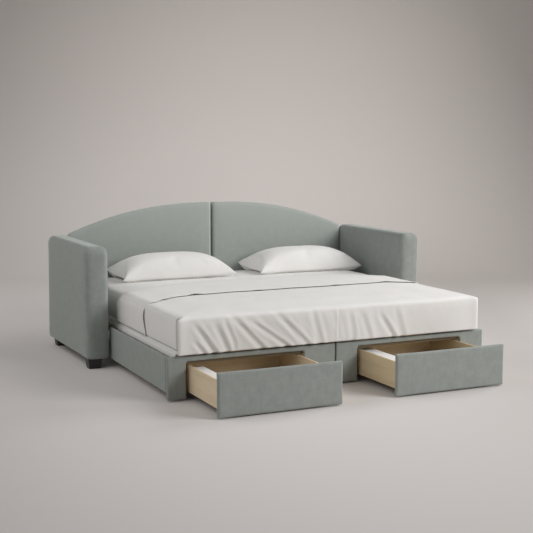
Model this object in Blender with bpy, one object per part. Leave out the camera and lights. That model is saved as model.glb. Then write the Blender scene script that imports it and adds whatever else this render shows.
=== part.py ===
"""Sofa bed with an arched back, two upholstered arms and a pull-out base that holds two drawers.

It is drawn as it stands opened out for the night: the base is at its outer stop, both drawers
are part open, and the bed is made up. Metres, +Z up, +Y towards the back, and the front faces -Y.
The origin is on the floor, at the middle of the object's box. Left is the side at -X, which is
on the left for someone who faces the front.
"""

import math

import bmesh
import bpy
from mathutils import Vector

# Fits that every piece shares
SEAT_GAP = 0.0003
STOP_GAP = 0.002
CUT_OVERRUN = 0.01

# Sofa: arms, back and feet
INNER_WIDTH = 2.144
ARM_THICKNESS = 0.131
ARM_DEPTH = 0.965
ARM_TOP = 0.762
ARM_CORNER_RADIUS = 0.034
ARM_TOP_RADIUS = 0.045
ARM_BOTTOM_RADIUS = 0.010
FOOT_HEIGHT = 0.062
FOOT_SIDE = 0.090
FOOT_TAPER = 0.008
FOOT_CORNER_RADIUS = 0.006
FRONT_FOOT_INSET = 0.010
REAR_FOOT_INSET = 0.036
BACK_THICKNESS = 0.070
BACK_PEAK = 0.960
BACK_END_TOP = 0.758
BACK_EDGE_RADIUS = 0.014
BACK_JOINT_GAP = 0.0024

# Fixed frame under the rear of the bed
REAR_RAIL_THICKNESS = 0.028
REAR_RAIL_HEIGHT = 0.120
SLAT_THICKNESS = 0.020
SLAT_WIDTH = 0.120
SLAT_EDGE_RADIUS = 0.003
SLAT_COUNT = 11
FIXED_SLAT_REACH = 1.000

# Pull-out base
OPEN_DEPTH = 1.961
BASE_TRAVEL = 0.780
BASE_SIDE_CLEARANCE = 0.032
FASCIA_THICKNESS = 0.022
FASCIA_TOP = 0.249
FASCIA_BOTTOM = 0.006
FASCIA_RAIL_HEIGHT = 0.032
FASCIA_JOINT_GAP = 0.003
LEFT_END_POST = 0.113
MIDDLE_POST = 0.356
RIGHT_END_POST = 0.173
PANEL_EDGE_RADIUS = 0.004
SIDE_PANEL_THICKNESS = 0.022
SIDE_PANEL_BOTTOM = 0.045
SIDE_PANEL_SETBACK = 0.002
SLAT_DROP = 0.005
CROSS_RAIL_WIDTH = 0.045
CROSS_RAIL_HEIGHT = 0.026
MIDDLE_RAIL_SETBACK = 0.240
PARTITION_THICKNESS = 0.018
PARTITION_BOTTOM = 0.010

# Wheels that the base rolls on
WHEEL_RADIUS = 0.030
WHEEL_WIDTH = 0.022
WHEEL_HUB_RADIUS = 0.014
WHEEL_HUB_STEP = 0.003
WHEEL_STANDOFF = 0.002
AXLE_RADIUS = 0.005
AXLE_SEAT_DEPTH = 0.013
AXLE_CLEARANCE = 0.0004
FRONT_WHEEL_SETBACK = 0.075
REAR_WHEEL_SETBACK = 0.096

# Drawers
DRAWER_FRONT_TOP = 0.244
DRAWER_FRONT_BOTTOM = 0.006
DRAWER_FRONT_THICKNESS = 0.022
DRAWER_OVERLAY = 0.004
DRAWER_FACE_GAP = 0.001
DRAWER_DEPTH = 0.700
DRAWER_TRAVEL = 0.500
LEFT_DRAWER_OPEN = 0.432
RIGHT_DRAWER_OPEN = 0.412
BOX_TOP = 0.192
BOX_BOTTOM = 0.042
BOX_WALL = 0.013
BOX_SIDE_CLEARANCE = 0.018
BOX_FLOOR_THICKNESS = 0.008
BOX_FLOOR_RECESS = 0.014
BOX_EDGE_RADIUS = 0.0015

# Runners under the drawers
RUNNER_OVERLAP = 0.120
RUNNER_GAUGE = 0.0016
RUNNER_GAP = 0.002
RUNNER_TRACK_WIDTH = 0.022
RUNNER_FLANGE_HEIGHT = 0.034

# Bedding
MATTRESS_SIDE_MARGIN = 0.085
MATTRESS_TOP = 0.455
MATTRESS_CORNER_RADIUS = 0.060
MATTRESS_EDGE_RADIUS = 0.034
MATTRESS_CROWN = 0.004
CROWN_SHARES = ((0.15, 0.6), (0.35, 1.0))
MATTRESS_BACK_GAP = 0.006
MATTRESS_JOINT_GAP = 0.002
MATTRESS_JOINT_REACH = 1.000
MATTRESS_FRONT_SETBACK = 0.016
COVER_STAND_OUT = 0.023
DUVET_THICKNESS = 0.016
DUVET_FRONT_OVERHANG = 0.009
DUVET_HEM = 0.258
SIDE_HEM = 0.296
COVER_EDGE_RADIUS = 0.036
SHEET_THICKNESS = 0.004
SHEET_LAYER_GAP = 0.0008
TURN_REAR_REACH = 0.790
TURN_REAR_SWEEP = 0.170
TURN_FRONT_REACH = 1.280
TURN_FRONT_SWEEP = 0.120
SWEEP_WIDTH = 0.144
FOLD_DEPTH = 0.010
FOLD_WIDTH = 0.030
FOLD_PITCH = 0.155
FOLD_SLANT = 0.080
FOLD_COUNT = 5
FOLD_START_SHARE = 0.5
PILLOW_DEPTH = 0.440
PILLOW_THICKNESS = 0.166
PILLOW_PINCH = 0.030
PILLOW_SEAM_LIFT = 0.046
PILLOW_FULLNESS = 0.55
PILLOW_FLAT_GAIN = 1.6
PILLOW_BACK_GAP = 0.008
PILLOW_LEFT_MARGIN = 0.135
PILLOW_PAIR_GAP = 0.190
PILLOW_RIGHT_OVERHANG = 0.055

# How finely the curves are faceted
ARC_STEPS = 4
BACK_ARC_STEPS = 14
WHEEL_STEPS = 24
PILLOW_STEPS_ACROSS = 16
PILLOW_STEPS_DEEP = 10
COVER_STEPS_ACROSS = 16
COVER_STEPS_DEEP = 8
COVER_STEPS_DOWN = 3

# Places worked out from the sizes above
TOTAL_DEPTH = OPEN_DEPTH + DRAWER_FACE_GAP + DRAWER_FRONT_THICKNESS + LEFT_DRAWER_OPEN
REAR_Y = TOTAL_DEPTH / 2
BACK_FACE_Y = REAR_Y - BACK_THICKNESS
ARM_FRONT_Y = REAR_Y - ARM_DEPTH
FASCIA_Y = REAR_Y - OPEN_DEPTH
BASE_FRONT_Y = FASCIA_Y + FASCIA_THICKNESS + SEAT_GAP
REAR_RAIL_FACE_Y = BACK_FACE_Y - SEAT_GAP - REAR_RAIL_THICKNESS
BASE_REAR_Y = REAR_RAIL_FACE_Y - STOP_GAP - BASE_TRAVEL
FASCIA_WIDTH = INNER_WIDTH - 2 * BASE_SIDE_CLEARANCE
SIDE_PANEL_OUTER_X = FASCIA_WIDTH / 2 - SIDE_PANEL_SETBACK
SIDE_PANEL_INNER_X = SIDE_PANEL_OUTER_X - SIDE_PANEL_THICKNESS
SLAT_TOP = FASCIA_TOP - SLAT_DROP
SLAT_BOTTOM = SLAT_TOP - SLAT_THICKNESS
RAIL_TOP = SLAT_BOTTOM - SEAT_GAP
RAIL_BOTTOM = RAIL_TOP - CROSS_RAIL_HEIGHT
PARTITION_TOP = RAIL_BOTTOM - SEAT_GAP
OPENING_WIDTH = (FASCIA_WIDTH - LEFT_END_POST - MIDDLE_POST - RIGHT_END_POST) / 2
DRAWER_FRONT_WIDTH = OPENING_WIDTH + 2 * DRAWER_OVERLAY
BOX_WIDTH = OPENING_WIDTH - 2 * BOX_SIDE_CLEARANCE
RUNNER_LENGTH = DRAWER_TRAVEL + RUNNER_OVERLAP
SLIDER_TOP = BOX_BOTTOM + BOX_FLOOR_RECESS - SEAT_GAP
MATTRESS_WIDTH = FASCIA_WIDTH - 2 * MATTRESS_SIDE_MARGIN
MATTRESS_BOTTOM = SLAT_TOP + SEAT_GAP
COVER_WIDTH = MATTRESS_WIDTH + 2 * COVER_STAND_OUT
COVER_TOP = MATTRESS_TOP + MATTRESS_CROWN + SEAT_GAP
MATTRESS_FRONT_Y = FASCIA_Y + MATTRESS_FRONT_SETBACK
PILLOW_REACH = MATTRESS_WIDTH - PILLOW_LEFT_MARGIN + PILLOW_RIGHT_OVERHANG
PILLOW_WIDTH = (PILLOW_REACH - PILLOW_PAIR_GAP) / 2
LEFT_PILLOW_X = PILLOW_LEFT_MARGIN + PILLOW_WIDTH / 2 - MATTRESS_WIDTH / 2
RIGHT_PILLOW_X = MATTRESS_WIDTH / 2 + PILLOW_RIGHT_OVERHANG - PILLOW_WIDTH / 2
LEFT_DRAWER_X = LEFT_END_POST + OPENING_WIDTH / 2 - FASCIA_WIDTH / 2
RIGHT_DRAWER_X = FASCIA_WIDTH / 2 - RIGHT_END_POST - OPENING_WIDTH / 2

DRAWERS = {
    "left": (LEFT_DRAWER_X, LEFT_DRAWER_OPEN),
    "right": (RIGHT_DRAWER_X, RIGHT_DRAWER_OPEN),
}


def clear_scene():
    for old in list(bpy.data.objects):
        bpy.data.objects.remove(old, do_unlink=True)


def finish(name, colour, roughness, metallic=0.0):
    """A plain Principled material."""
    material = bpy.data.materials.new(name)
    material.use_nodes = True
    shader = material.node_tree.nodes["Principled BSDF"]
    shader.inputs["Base Color"].default_value = (*colour, 1.0)
    shader.inputs["Roughness"].default_value = roughness
    shader.inputs["Metallic"].default_value = metallic
    material.diffuse_color = (*colour, 1.0)
    return material


def add_object(name, mesh, material, parent=None):
    """Puts a mesh drawn in place into the scene, with its origin at the middle of its box."""
    corners = [Vector(map(pick, zip(*(v.co for v in mesh.vertices)))) for pick in (min, max)]
    middle = (corners[0] + corners[1]) / 2
    for vertex in mesh.vertices:
        vertex.co -= middle
    mesh.materials.append(material)
    placed = bpy.data.objects.new(name, mesh)
    bpy.context.scene.collection.objects.link(placed)
    placed.location = middle
    if parent is not None:
        placed.parent = parent
        placed.location = middle - parent.location
    return placed


def add_joint_marker(name, location, parent=None):
    """An empty on a joint's axis, which the pieces that move there are parented to."""
    marker = bpy.data.objects.new(name, None)
    bpy.context.scene.collection.objects.link(marker)
    marker.location = location
    if parent is not None:
        marker.parent = parent
        marker.location = Vector(location) - parent.location
    return marker


def mesh_from(name, build, turn_out=True):
    """Runs build on an empty bmesh, turns every face outwards if asked and returns the mesh."""
    work = bmesh.new()
    build(work)
    if turn_out:
        bmesh.ops.recalc_face_normals(work, faces=work.faces)
    mesh = bpy.data.meshes.new(name)
    work.to_mesh(mesh)
    work.free()
    return mesh


def smooth(placed, degrees=35):
    placed.data.shade_smooth()
    placed.data.set_sharp_from_angle(angle=math.radians(degrees))


def rounded_rectangle(low, high, radius, inset):
    """The points of a rectangle with round corners, drawn in by inset, at ARC_STEPS a corner."""
    corner = max(radius - inset, radius / (2 * ARC_STEPS))
    centres = (
        (high[0] - inset - corner, high[1] - inset - corner, 0),
        (low[0] + inset + corner, high[1] - inset - corner, 1),
        (low[0] + inset + corner, low[1] + inset + corner, 2),
        (high[0] - inset - corner, low[1] + inset + corner, 3),
    )
    points = []
    for x, y, quarter in centres:
        for step in range(ARC_STEPS + 1):
            angle = (quarter + step / ARC_STEPS) * math.pi / 2
            points.append((x + corner * math.cos(angle), y + corner * math.sin(angle)))
    return points


def rounding_levels(bottom, top, bottom_radius, top_radius):
    """(inset, height) pairs that round the bottom and top edges of an upright block."""
    angles = [step / ARC_STEPS * math.pi / 2 for step in range(ARC_STEPS + 1)]
    levels = []
    for angle in angles:
        inset = bottom_radius * (1 - math.sin(angle))
        levels.append((inset, bottom + bottom_radius * (1 - math.cos(angle))))
    for angle in angles:
        inset = top_radius * (1 - math.cos(angle))
        levels.append((inset, top - top_radius * (1 - math.sin(angle))))
    return levels


def loft(work, rings):
    """Joins rings of equally many points with quads and closes both ends."""
    loops = [[work.verts.new(point) for point in ring] for ring in rings]
    for lower, upper in zip(loops, loops[1:]):
        for k in range(len(lower)):
            after = (k + 1) % len(lower)
            work.faces.new((lower[k], lower[after], upper[after], upper[k]))
    work.faces.new(list(reversed(loops[0])))
    work.faces.new(loops[-1])


def soft_block(name, low, high, corner_radius, bottom_radius, top_radius, crown=0.0):
    """An upholstered block: round upright corners, rounded top and bottom edges, and a crown."""
    levels = rounding_levels(low[2], high[2], bottom_radius, top_radius)
    if crown:
        reach = min(high[0] - low[0], high[1] - low[1]) / 2
        levels += [(top_radius + reach * share, high[2] + crown * rise)
                   for share, rise in CROWN_SHARES]
    rings = []
    for inset, height in levels:
        outline = rounded_rectangle(low, high, corner_radius, inset)
        rings.append([(x, y, height) for x, y in outline])
    return mesh_from(name, lambda work: loft(work, rings))


def board(name, low, high):
    """A square-edged board between two corners."""
    def build(work):
        size = [b - a for a, b in zip(low, high)]
        middle = [(a + b) / 2 for a, b in zip(low, high)]
        bmesh.ops.create_cube(work, size=1)
        bmesh.ops.scale(work, vec=size, verts=work.verts)
        bmesh.ops.translate(work, vec=middle, verts=work.verts)
    return mesh_from(name, build)


def prism(name, outline, low, high, axis):
    """An outline in two axes, pushed out from low to high along the third."""
    def build(work):
        order = {"x": (2, 0, 1), "y": (0, 2, 1), "z": (0, 1, 2)}[axis]
        rings = []
        for depth in (low, high):
            flat = [(a, b, depth) for a, b in outline]
            rings.append([tuple(point[k] for k in order) for point in flat])
        loft(work, rings)
    return mesh_from(name, build)


def soften(placed, width, segments):
    """Rounds the hard edges with a Bevel modifier."""
    bevel = placed.modifiers.new("rounded_edges", "BEVEL")
    bevel.width = width
    bevel.segments = segments
    bevel.limit_method = "ANGLE"
    bevel.use_clamp_overlap = True
    smooth(placed)


def cut(placed, cutters):
    """Takes the cutters' shapes out of a piece. The cutters stay in the scene as guides."""
    for cutter in cutters:
        cutter.hide_render = True
        cutter.display_type = "WIRE"
        hole = placed.modifiers.new("hole", "BOOLEAN")
        hole.operation = "DIFFERENCE"
        hole.object = cutter


def add_arm(side, sign, material):
    inner = INNER_WIDTH / 2
    outer = inner + ARM_THICKNESS
    low_x, high_x = sorted((sign * inner, sign * outer))
    mesh = soft_block(
        f"{side}_arm",
        (low_x, ARM_FRONT_Y, FOOT_HEIGHT),
        (high_x, REAR_Y, ARM_TOP),
        ARM_CORNER_RADIUS,
        ARM_BOTTOM_RADIUS,
        ARM_TOP_RADIUS,
    )
    smooth(add_object(f"{side}_arm", mesh, material))


def add_foot(name, sign, front, material):
    """A tapered block under an arm, narrower at the floor."""
    outer = INNER_WIDTH / 2 + ARM_THICKNESS
    if front:
        low_y = ARM_FRONT_Y + FRONT_FOOT_INSET
        edge = outer - FRONT_FOOT_INSET
    else:
        low_y = REAR_Y - REAR_FOOT_INSET - FOOT_SIDE
        edge = outer - (ARM_THICKNESS - FOOT_SIDE) / 2
    low_x, high_x = sorted((sign * edge, sign * (edge - FOOT_SIDE)))
    low = (low_x, low_y)
    high = (high_x, low_y + FOOT_SIDE)
    rings = []
    for inset, height in ((FOOT_TAPER, 0.0), (0.0, FOOT_HEIGHT - SEAT_GAP)):
        outline = rounded_rectangle(low, high, FOOT_CORNER_RADIUS + inset, inset)
        rings.append([(x, y, height) for x, y in outline])
    smooth(add_object(name, mesh_from(name, lambda work: loft(work, rings)), material))


def add_back_panel(side, sign, material):
    """Half of the arched back. Its top is an arc from the arm up to the middle joint."""
    outer = INNER_WIDTH / 2 - SEAT_GAP
    inner = BACK_JOINT_GAP / 2
    rise = BACK_PEAK - BACK_END_TOP
    radius = (outer * outer + rise * rise) / (2 * rise)
    outline = [(inner, FOOT_HEIGHT), (outer, FOOT_HEIGHT)]
    for step in range(BACK_ARC_STEPS + 1):
        x = outer + (inner - outer) * step / BACK_ARC_STEPS
        outline.append((x, BACK_PEAK - radius + math.sqrt(radius * radius - x * x)))
    outline = [(sign * x, z) for x, z in outline]
    name = f"{side}_back_panel"
    mesh = prism(name, outline, BACK_FACE_Y, REAR_Y, "y")
    soften(add_object(name, mesh, material), BACK_EDGE_RADIUS, ARC_STEPS - 1)


def add_fixed_frame(material):
    """The rail that ties the arms together under the back, where the fixed slats end."""
    reach = INNER_WIDTH / 2 - SEAT_GAP
    low = (-reach, REAR_RAIL_FACE_Y, RAIL_TOP - REAR_RAIL_HEIGHT)
    high = (reach, BACK_FACE_Y - SEAT_GAP, RAIL_TOP)
    soften(add_object("rear_rail", board("rear_rail", low, high), material), SLAT_EDGE_RADIUS, 1)


def add_slats(material, base):
    """Fixed and sliding slats side by side in turn, so that the two sets pass each other."""
    pitch = 2 * SIDE_PANEL_INNER_X / SLAT_COUNT
    numbers = {"fixed": 0, "sliding": 0}
    for place in range(SLAT_COUNT):
        kind = "sliding" if place % 2 else "fixed"
        numbers[kind] += 1
        name = f"{kind}_slat_{numbers[kind]}"
        x = (place - (SLAT_COUNT - 1) / 2) * pitch
        if kind == "fixed":
            front, rear, parent = REAR_Y - FIXED_SLAT_REACH, BACK_FACE_Y - SEAT_GAP, None
        else:
            front, rear, parent = BASE_FRONT_Y, BASE_REAR_Y, base
        low = (x - SLAT_WIDTH / 2, front, SLAT_BOTTOM)
        high = (x + SLAT_WIDTH / 2, rear, SLAT_TOP)
        soften(add_object(name, board(name, low, high), material, parent), SLAT_EDGE_RADIUS, 1)


def add_fascia(side, sign, centre, material, base):
    """Half of the base's front, with the gap that its drawer runs in, open at the floor."""
    inner = sign * FASCIA_JOINT_GAP / 2
    outer = sign * FASCIA_WIDTH / 2
    near, far = sorted(
        (centre - OPENING_WIDTH / 2, centre + OPENING_WIDTH / 2), key=abs
    )
    lintel = FASCIA_TOP - FASCIA_RAIL_HEIGHT
    outline = [
        (inner, FASCIA_BOTTOM),
        (near, FASCIA_BOTTOM),
        (near, lintel),
        (far, lintel),
        (far, FASCIA_BOTTOM),
        (outer, FASCIA_BOTTOM),
        (outer, FASCIA_TOP),
        (inner, FASCIA_TOP),
    ]
    name = f"{side}_fascia"
    mesh = prism(name, outline, FASCIA_Y, FASCIA_Y + FASCIA_THICKNESS, "y")
    soften(add_object(name, mesh, material, base), PANEL_EDGE_RADIUS, 2)


def add_side_panel(side, sign, material, base):
    low_x, high_x = sorted((sign * SIDE_PANEL_INNER_X, sign * SIDE_PANEL_OUTER_X))
    low = (low_x, BASE_FRONT_Y, SIDE_PANEL_BOTTOM)
    high = (high_x, BASE_REAR_Y, FASCIA_TOP)
    name = f"{side}_side_panel"
    soften(add_object(name, board(name, low, high), material, base), PANEL_EDGE_RADIUS, 2)


def add_cross_rails(material, base):
    """The three rails that tie the base's sides together and carry every slat."""
    reach = SIDE_PANEL_INNER_X - SEAT_GAP
    places = {
        "front_cross_rail": BASE_FRONT_Y,
        "middle_cross_rail": FASCIA_Y + MIDDLE_RAIL_SETBACK,
        "rear_cross_rail": BASE_REAR_Y - CROSS_RAIL_WIDTH,
    }
    for name, front in places.items():
        low = (-reach, front, RAIL_BOTTOM)
        high = (reach, front + CROSS_RAIL_WIDTH, RAIL_TOP)
        soften(add_object(name, board(name, low, high), material, base), SLAT_EDGE_RADIUS, 1)


def partition_faces(centre, way):
    """The two x places of the upright board on one side of a drawer opening, nearer one first."""
    near = centre + way * OPENING_WIDTH / 2
    return near, near + way * PARTITION_THICKNESS


def wheel_places():
    """Each wheel's name, the way it stands from its partition, and its place on the floor."""
    ends = {
        "front": FASCIA_Y + FRONT_WHEEL_SETBACK,
        "rear": BASE_REAR_Y - REAR_WHEEL_SETBACK,
    }
    places = []
    for side, sign in (("left", -1), ("right", 1)):
        face = partition_faces(DRAWERS[side][0], sign)[1]
        for end, y in ends.items():
            places.append((f"{end}_{side}_wheel", sign, face, y))
    return places


def axle_seat(name, sign, face, y):
    """The round cutter that makes the seat for a wheel's axle in a partition."""
    depth = AXLE_SEAT_DEPTH + SEAT_GAP
    ends = sorted((face - sign * depth, face + sign * CUT_OVERRUN))
    radius = AXLE_RADIUS + AXLE_CLEARANCE
    steps = WHEEL_STEPS // 2
    turns = [2 * math.pi * step / steps for step in range(steps)]
    outline = [(y + radius * math.cos(a), WHEEL_RADIUS + radius * math.sin(a)) for a in turns]
    return prism(f"{name}_axle_seat", outline, ends[0], ends[1], "x")


def add_partitions(material, base):
    """Upright boards on both sides of each drawer. The outer ones hold the wheels' axles."""
    for side, sign in (("left", -1), ("right", 1)):
        centre = DRAWERS[side][0]
        for place, way in (("outer", sign), ("inner", -sign)):
            low_x, high_x = sorted(partition_faces(centre, way))
            low = (low_x, BASE_FRONT_Y, PARTITION_BOTTOM)
            high = (high_x, BASE_REAR_Y, PARTITION_TOP)
            name = f"{side}_{place}_partition"
            placed = add_object(name, board(name, low, high), material, base)
            if place == "outer":
                seats = [
                    add_object(f"{wheel}_axle_seat", axle_seat(wheel, way, face, y), material, base)
                    for wheel, way, face, y in wheel_places()
                    if f"_{side}_" in wheel
                ]
                cut(placed, seats)


def add_wheels(material, base):
    """A turned wheel with its axle in one piece. Each turns about a marker on its own axis."""
    for name, sign, face, y in wheel_places():
        start = -AXLE_SEAT_DEPTH
        hub_face = WHEEL_STANDOFF
        tread = hub_face + WHEEL_HUB_STEP
        outer = tread + WHEEL_WIDTH
        profile = [
            (start, AXLE_RADIUS),
            (hub_face, AXLE_RADIUS),
            (hub_face, WHEEL_HUB_RADIUS),
            (tread, WHEEL_HUB_RADIUS),
            (tread, WHEEL_RADIUS - WHEEL_HUB_STEP),
            (tread + WHEEL_HUB_STEP, WHEEL_RADIUS),
            (outer - WHEEL_HUB_STEP, WHEEL_RADIUS),
            (outer, WHEEL_RADIUS - WHEEL_HUB_STEP),
            (outer, WHEEL_HUB_RADIUS),
            (outer - WHEEL_HUB_STEP, WHEEL_HUB_RADIUS - WHEEL_HUB_STEP),
        ]
        rings = []
        for along, radius in profile:
            turns = [2 * math.pi * step / WHEEL_STEPS for step in range(WHEEL_STEPS)]
            rings.append([
                (face + sign * along, y + radius * math.sin(a), WHEEL_RADIUS - radius * math.cos(a))
                for a in turns
            ])
        mesh = mesh_from(name, lambda work: loft(work, rings))
        marker = add_joint_marker(f"{name}_axis", (face, y, WHEEL_RADIUS), base)
        placed = add_object(name, mesh, material)
        placed.parent = marker
        placed.location -= Vector((face, y, WHEEL_RADIUS))
        smooth(placed)


def track_profile(edge, way):
    """A runner's fixed channel: screwed flange, web under the drawer's side, and the track."""
    web_low = BOX_BOTTOM - RUNNER_GAP - RUNNER_GAUGE
    web_high = BOX_BOTTOM - RUNNER_GAP
    flange_low = web_high - RUNNER_FLANGE_HEIGHT / 2
    track_start = BOX_SIDE_CLEARANCE + BOX_WALL + RUNNER_GAP + RUNNER_GAUGE + RUNNER_GAP
    track_end = track_start + RUNNER_TRACK_WIDTH
    track_top = SLIDER_TOP - RUNNER_GAUGE - SEAT_GAP
    steps = [
        (SEAT_GAP, flange_low),
        (SEAT_GAP, web_high + RUNNER_FLANGE_HEIGHT / 2),
        (SEAT_GAP + RUNNER_GAUGE, web_high + RUNNER_FLANGE_HEIGHT / 2),
        (SEAT_GAP + RUNNER_GAUGE, web_high),
        (track_start, web_high),
        (track_start, track_top),
        (track_end, track_top),
        (track_end, web_low),
        (SEAT_GAP + RUNNER_GAUGE, web_low),
        (SEAT_GAP + RUNNER_GAUGE, flange_low),
    ]
    return [(edge - way * across, height) for across, height in steps]


def slider_profile(edge, way):
    """The drawer's half of a runner: a channel that hangs over the track, under the floor."""
    start = BOX_SIDE_CLEARANCE + BOX_WALL + RUNNER_GAP
    end = start + 2 * RUNNER_GAUGE + 2 * RUNNER_GAP + RUNNER_TRACK_WIDTH
    steps = [
        (start, BOX_BOTTOM),
        (start, SLIDER_TOP),
        (end, SLIDER_TOP),
        (end, BOX_BOTTOM),
        (end - RUNNER_GAUGE, BOX_BOTTOM),
        (end - RUNNER_GAUGE, SLIDER_TOP - RUNNER_GAUGE),
        (start + RUNNER_GAUGE, SLIDER_TOP - RUNNER_GAUGE),
        (start + RUNNER_GAUGE, BOX_BOTTOM),
    ]
    return [(edge - way * across, height) for across, height in steps]


def add_runner_tracks(material, base):
    for side, (centre, _) in DRAWERS.items():
        for hand, way in (("left", -1), ("right", 1)):
            name = f"{side}_drawer_{hand}_track"
            outline = track_profile(centre + way * OPENING_WIDTH / 2, way)
            mesh = prism(name, outline, BASE_FRONT_Y, BASE_FRONT_Y + RUNNER_LENGTH, "y")
            add_object(name, mesh, material, base)


def add_drawer(side, base, looks):
    """One drawer: padded front, plywood box in five boards, and the runners' moving halves."""
    centre, opened = DRAWERS[side]
    front_y = FASCIA_Y - DRAWER_FACE_GAP - DRAWER_FRONT_THICKNESS - opened
    box_y = front_y + DRAWER_FRONT_THICKNESS + SEAT_GAP
    marker = add_joint_marker(f"{side}_drawer_slide_axis", (centre, front_y, BOX_BOTTOM), base)

    def place(name, mesh, look, radius=0.0, segments=1):
        placed = add_object(f"{side}_drawer_{name}", mesh, looks[look])
        placed.parent = marker
        placed.location -= Vector((centre, front_y, BOX_BOTTOM))
        if radius:
            soften(placed, radius, segments)

    half_front = DRAWER_FRONT_WIDTH / 2
    low = (centre - half_front, front_y, DRAWER_FRONT_BOTTOM)
    high = (centre + half_front, front_y + DRAWER_FRONT_THICKNESS, DRAWER_FRONT_TOP)
    place("front", board("front", low, high), "fabric", PANEL_EDGE_RADIUS, 2)

    half_box = BOX_WIDTH / 2
    for hand, way in (("left", -1), ("right", 1)):
        low_x, high_x = sorted((centre + way * half_box, centre + way * (half_box - BOX_WALL)))
        low = (low_x, box_y, BOX_BOTTOM)
        high = (high_x, box_y + DRAWER_DEPTH, BOX_TOP)
        place(f"{hand}_side", board(hand, low, high), "birch", BOX_EDGE_RADIUS)
        edge = centre + way * OPENING_WIDTH / 2
        rear = box_y + RUNNER_LENGTH
        place(f"{hand}_slider", prism(hand, slider_profile(edge, way), box_y, rear, "y"), "steel")

    inside = half_box - BOX_WALL - SEAT_GAP
    floor_low = BOX_BOTTOM + BOX_FLOOR_RECESS
    floor_top = floor_low + BOX_FLOOR_THICKNESS
    back_y = box_y + DRAWER_DEPTH - BOX_WALL
    low = (centre - inside, box_y, floor_low)
    high = (centre + inside, box_y + DRAWER_DEPTH, floor_top)
    place("floor", board("floor", low, high), "birch")
    low = (centre - inside, back_y, floor_top + SEAT_GAP)
    high = (centre + inside, box_y + DRAWER_DEPTH, BOX_TOP)
    place("back", board("back", low, high), "birch", BOX_EDGE_RADIUS)


def add_mattress(material, base):
    """Two foam sections that meet where the fixed part of the frame ends."""
    half = MATTRESS_WIDTH / 2
    joint = REAR_Y - MATTRESS_JOINT_REACH
    sections = {
        "rear_mattress": (joint, BACK_FACE_Y - MATTRESS_BACK_GAP, None),
        "front_mattress": (MATTRESS_FRONT_Y, joint - MATTRESS_JOINT_GAP, base),
    }
    for name, (front, rear, parent) in sections.items():
        mesh = soft_block(
            name,
            (-half, front, MATTRESS_BOTTOM),
            (half, rear, MATTRESS_TOP),
            MATTRESS_CORNER_RADIUS,
            MATTRESS_EDGE_RADIUS,
            MATTRESS_EDGE_RADIUS,
            MATTRESS_CROWN,
        )
        smooth(add_object(name, mesh, material, parent))


def round_over(point, half_width, front, top, radius):
    """Moves a point of a square-edged cover onto the same cover with rounded edges."""
    x, y, z = point
    core = Vector((
        max(-half_width + radius, min(half_width - radius, x)),
        max(front + radius, y),
        min(top - radius, z),
    ))
    out = Vector(point) - core
    if out.length < SEAT_GAP:
        return Vector(point), Vector((0, 0, 1))
    out.normalize()
    return core + out * radius, out


def spread(low, high, steps, edge):
    """Places from low to high with two narrow steps of edge / 2 at each end."""
    middle = [low + edge + (high - low - 2 * edge) * k / steps for k in range(steps + 1)]
    return [low, low + edge / 2, *middle, high - edge / 2, high]


def side_share(x):
    """0 on the flat top of a made bed, rising to 1 at its side."""
    share = max(0.0, min(1.0, 1 - (COVER_WIDTH / 2 - abs(x)) / SWEEP_WIDTH))
    return share * share * (3 - 2 * share)


def drape_folds(x, z, top):
    """How far the front hang stands out, from slanting folds that start at its left corner."""
    fall = max(0.0, min(1.0, (top - z) / (top - DUVET_HEM)))
    out = 0.0
    for k in range(FOLD_COUNT):
        ridge = -COVER_WIDTH / 2 + FOLD_PITCH * (k + 1) * FOLD_START_SHARE + FOLD_SLANT * fall
        ridge += FOLD_PITCH * k * (1 - FOLD_START_SHARE)
        reach = (x - ridge) / FOLD_WIDTH
        out += FOLD_DEPTH * fall * math.exp(-reach * reach) * (1 - k / (FOLD_COUNT + 2))
    return out


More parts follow.
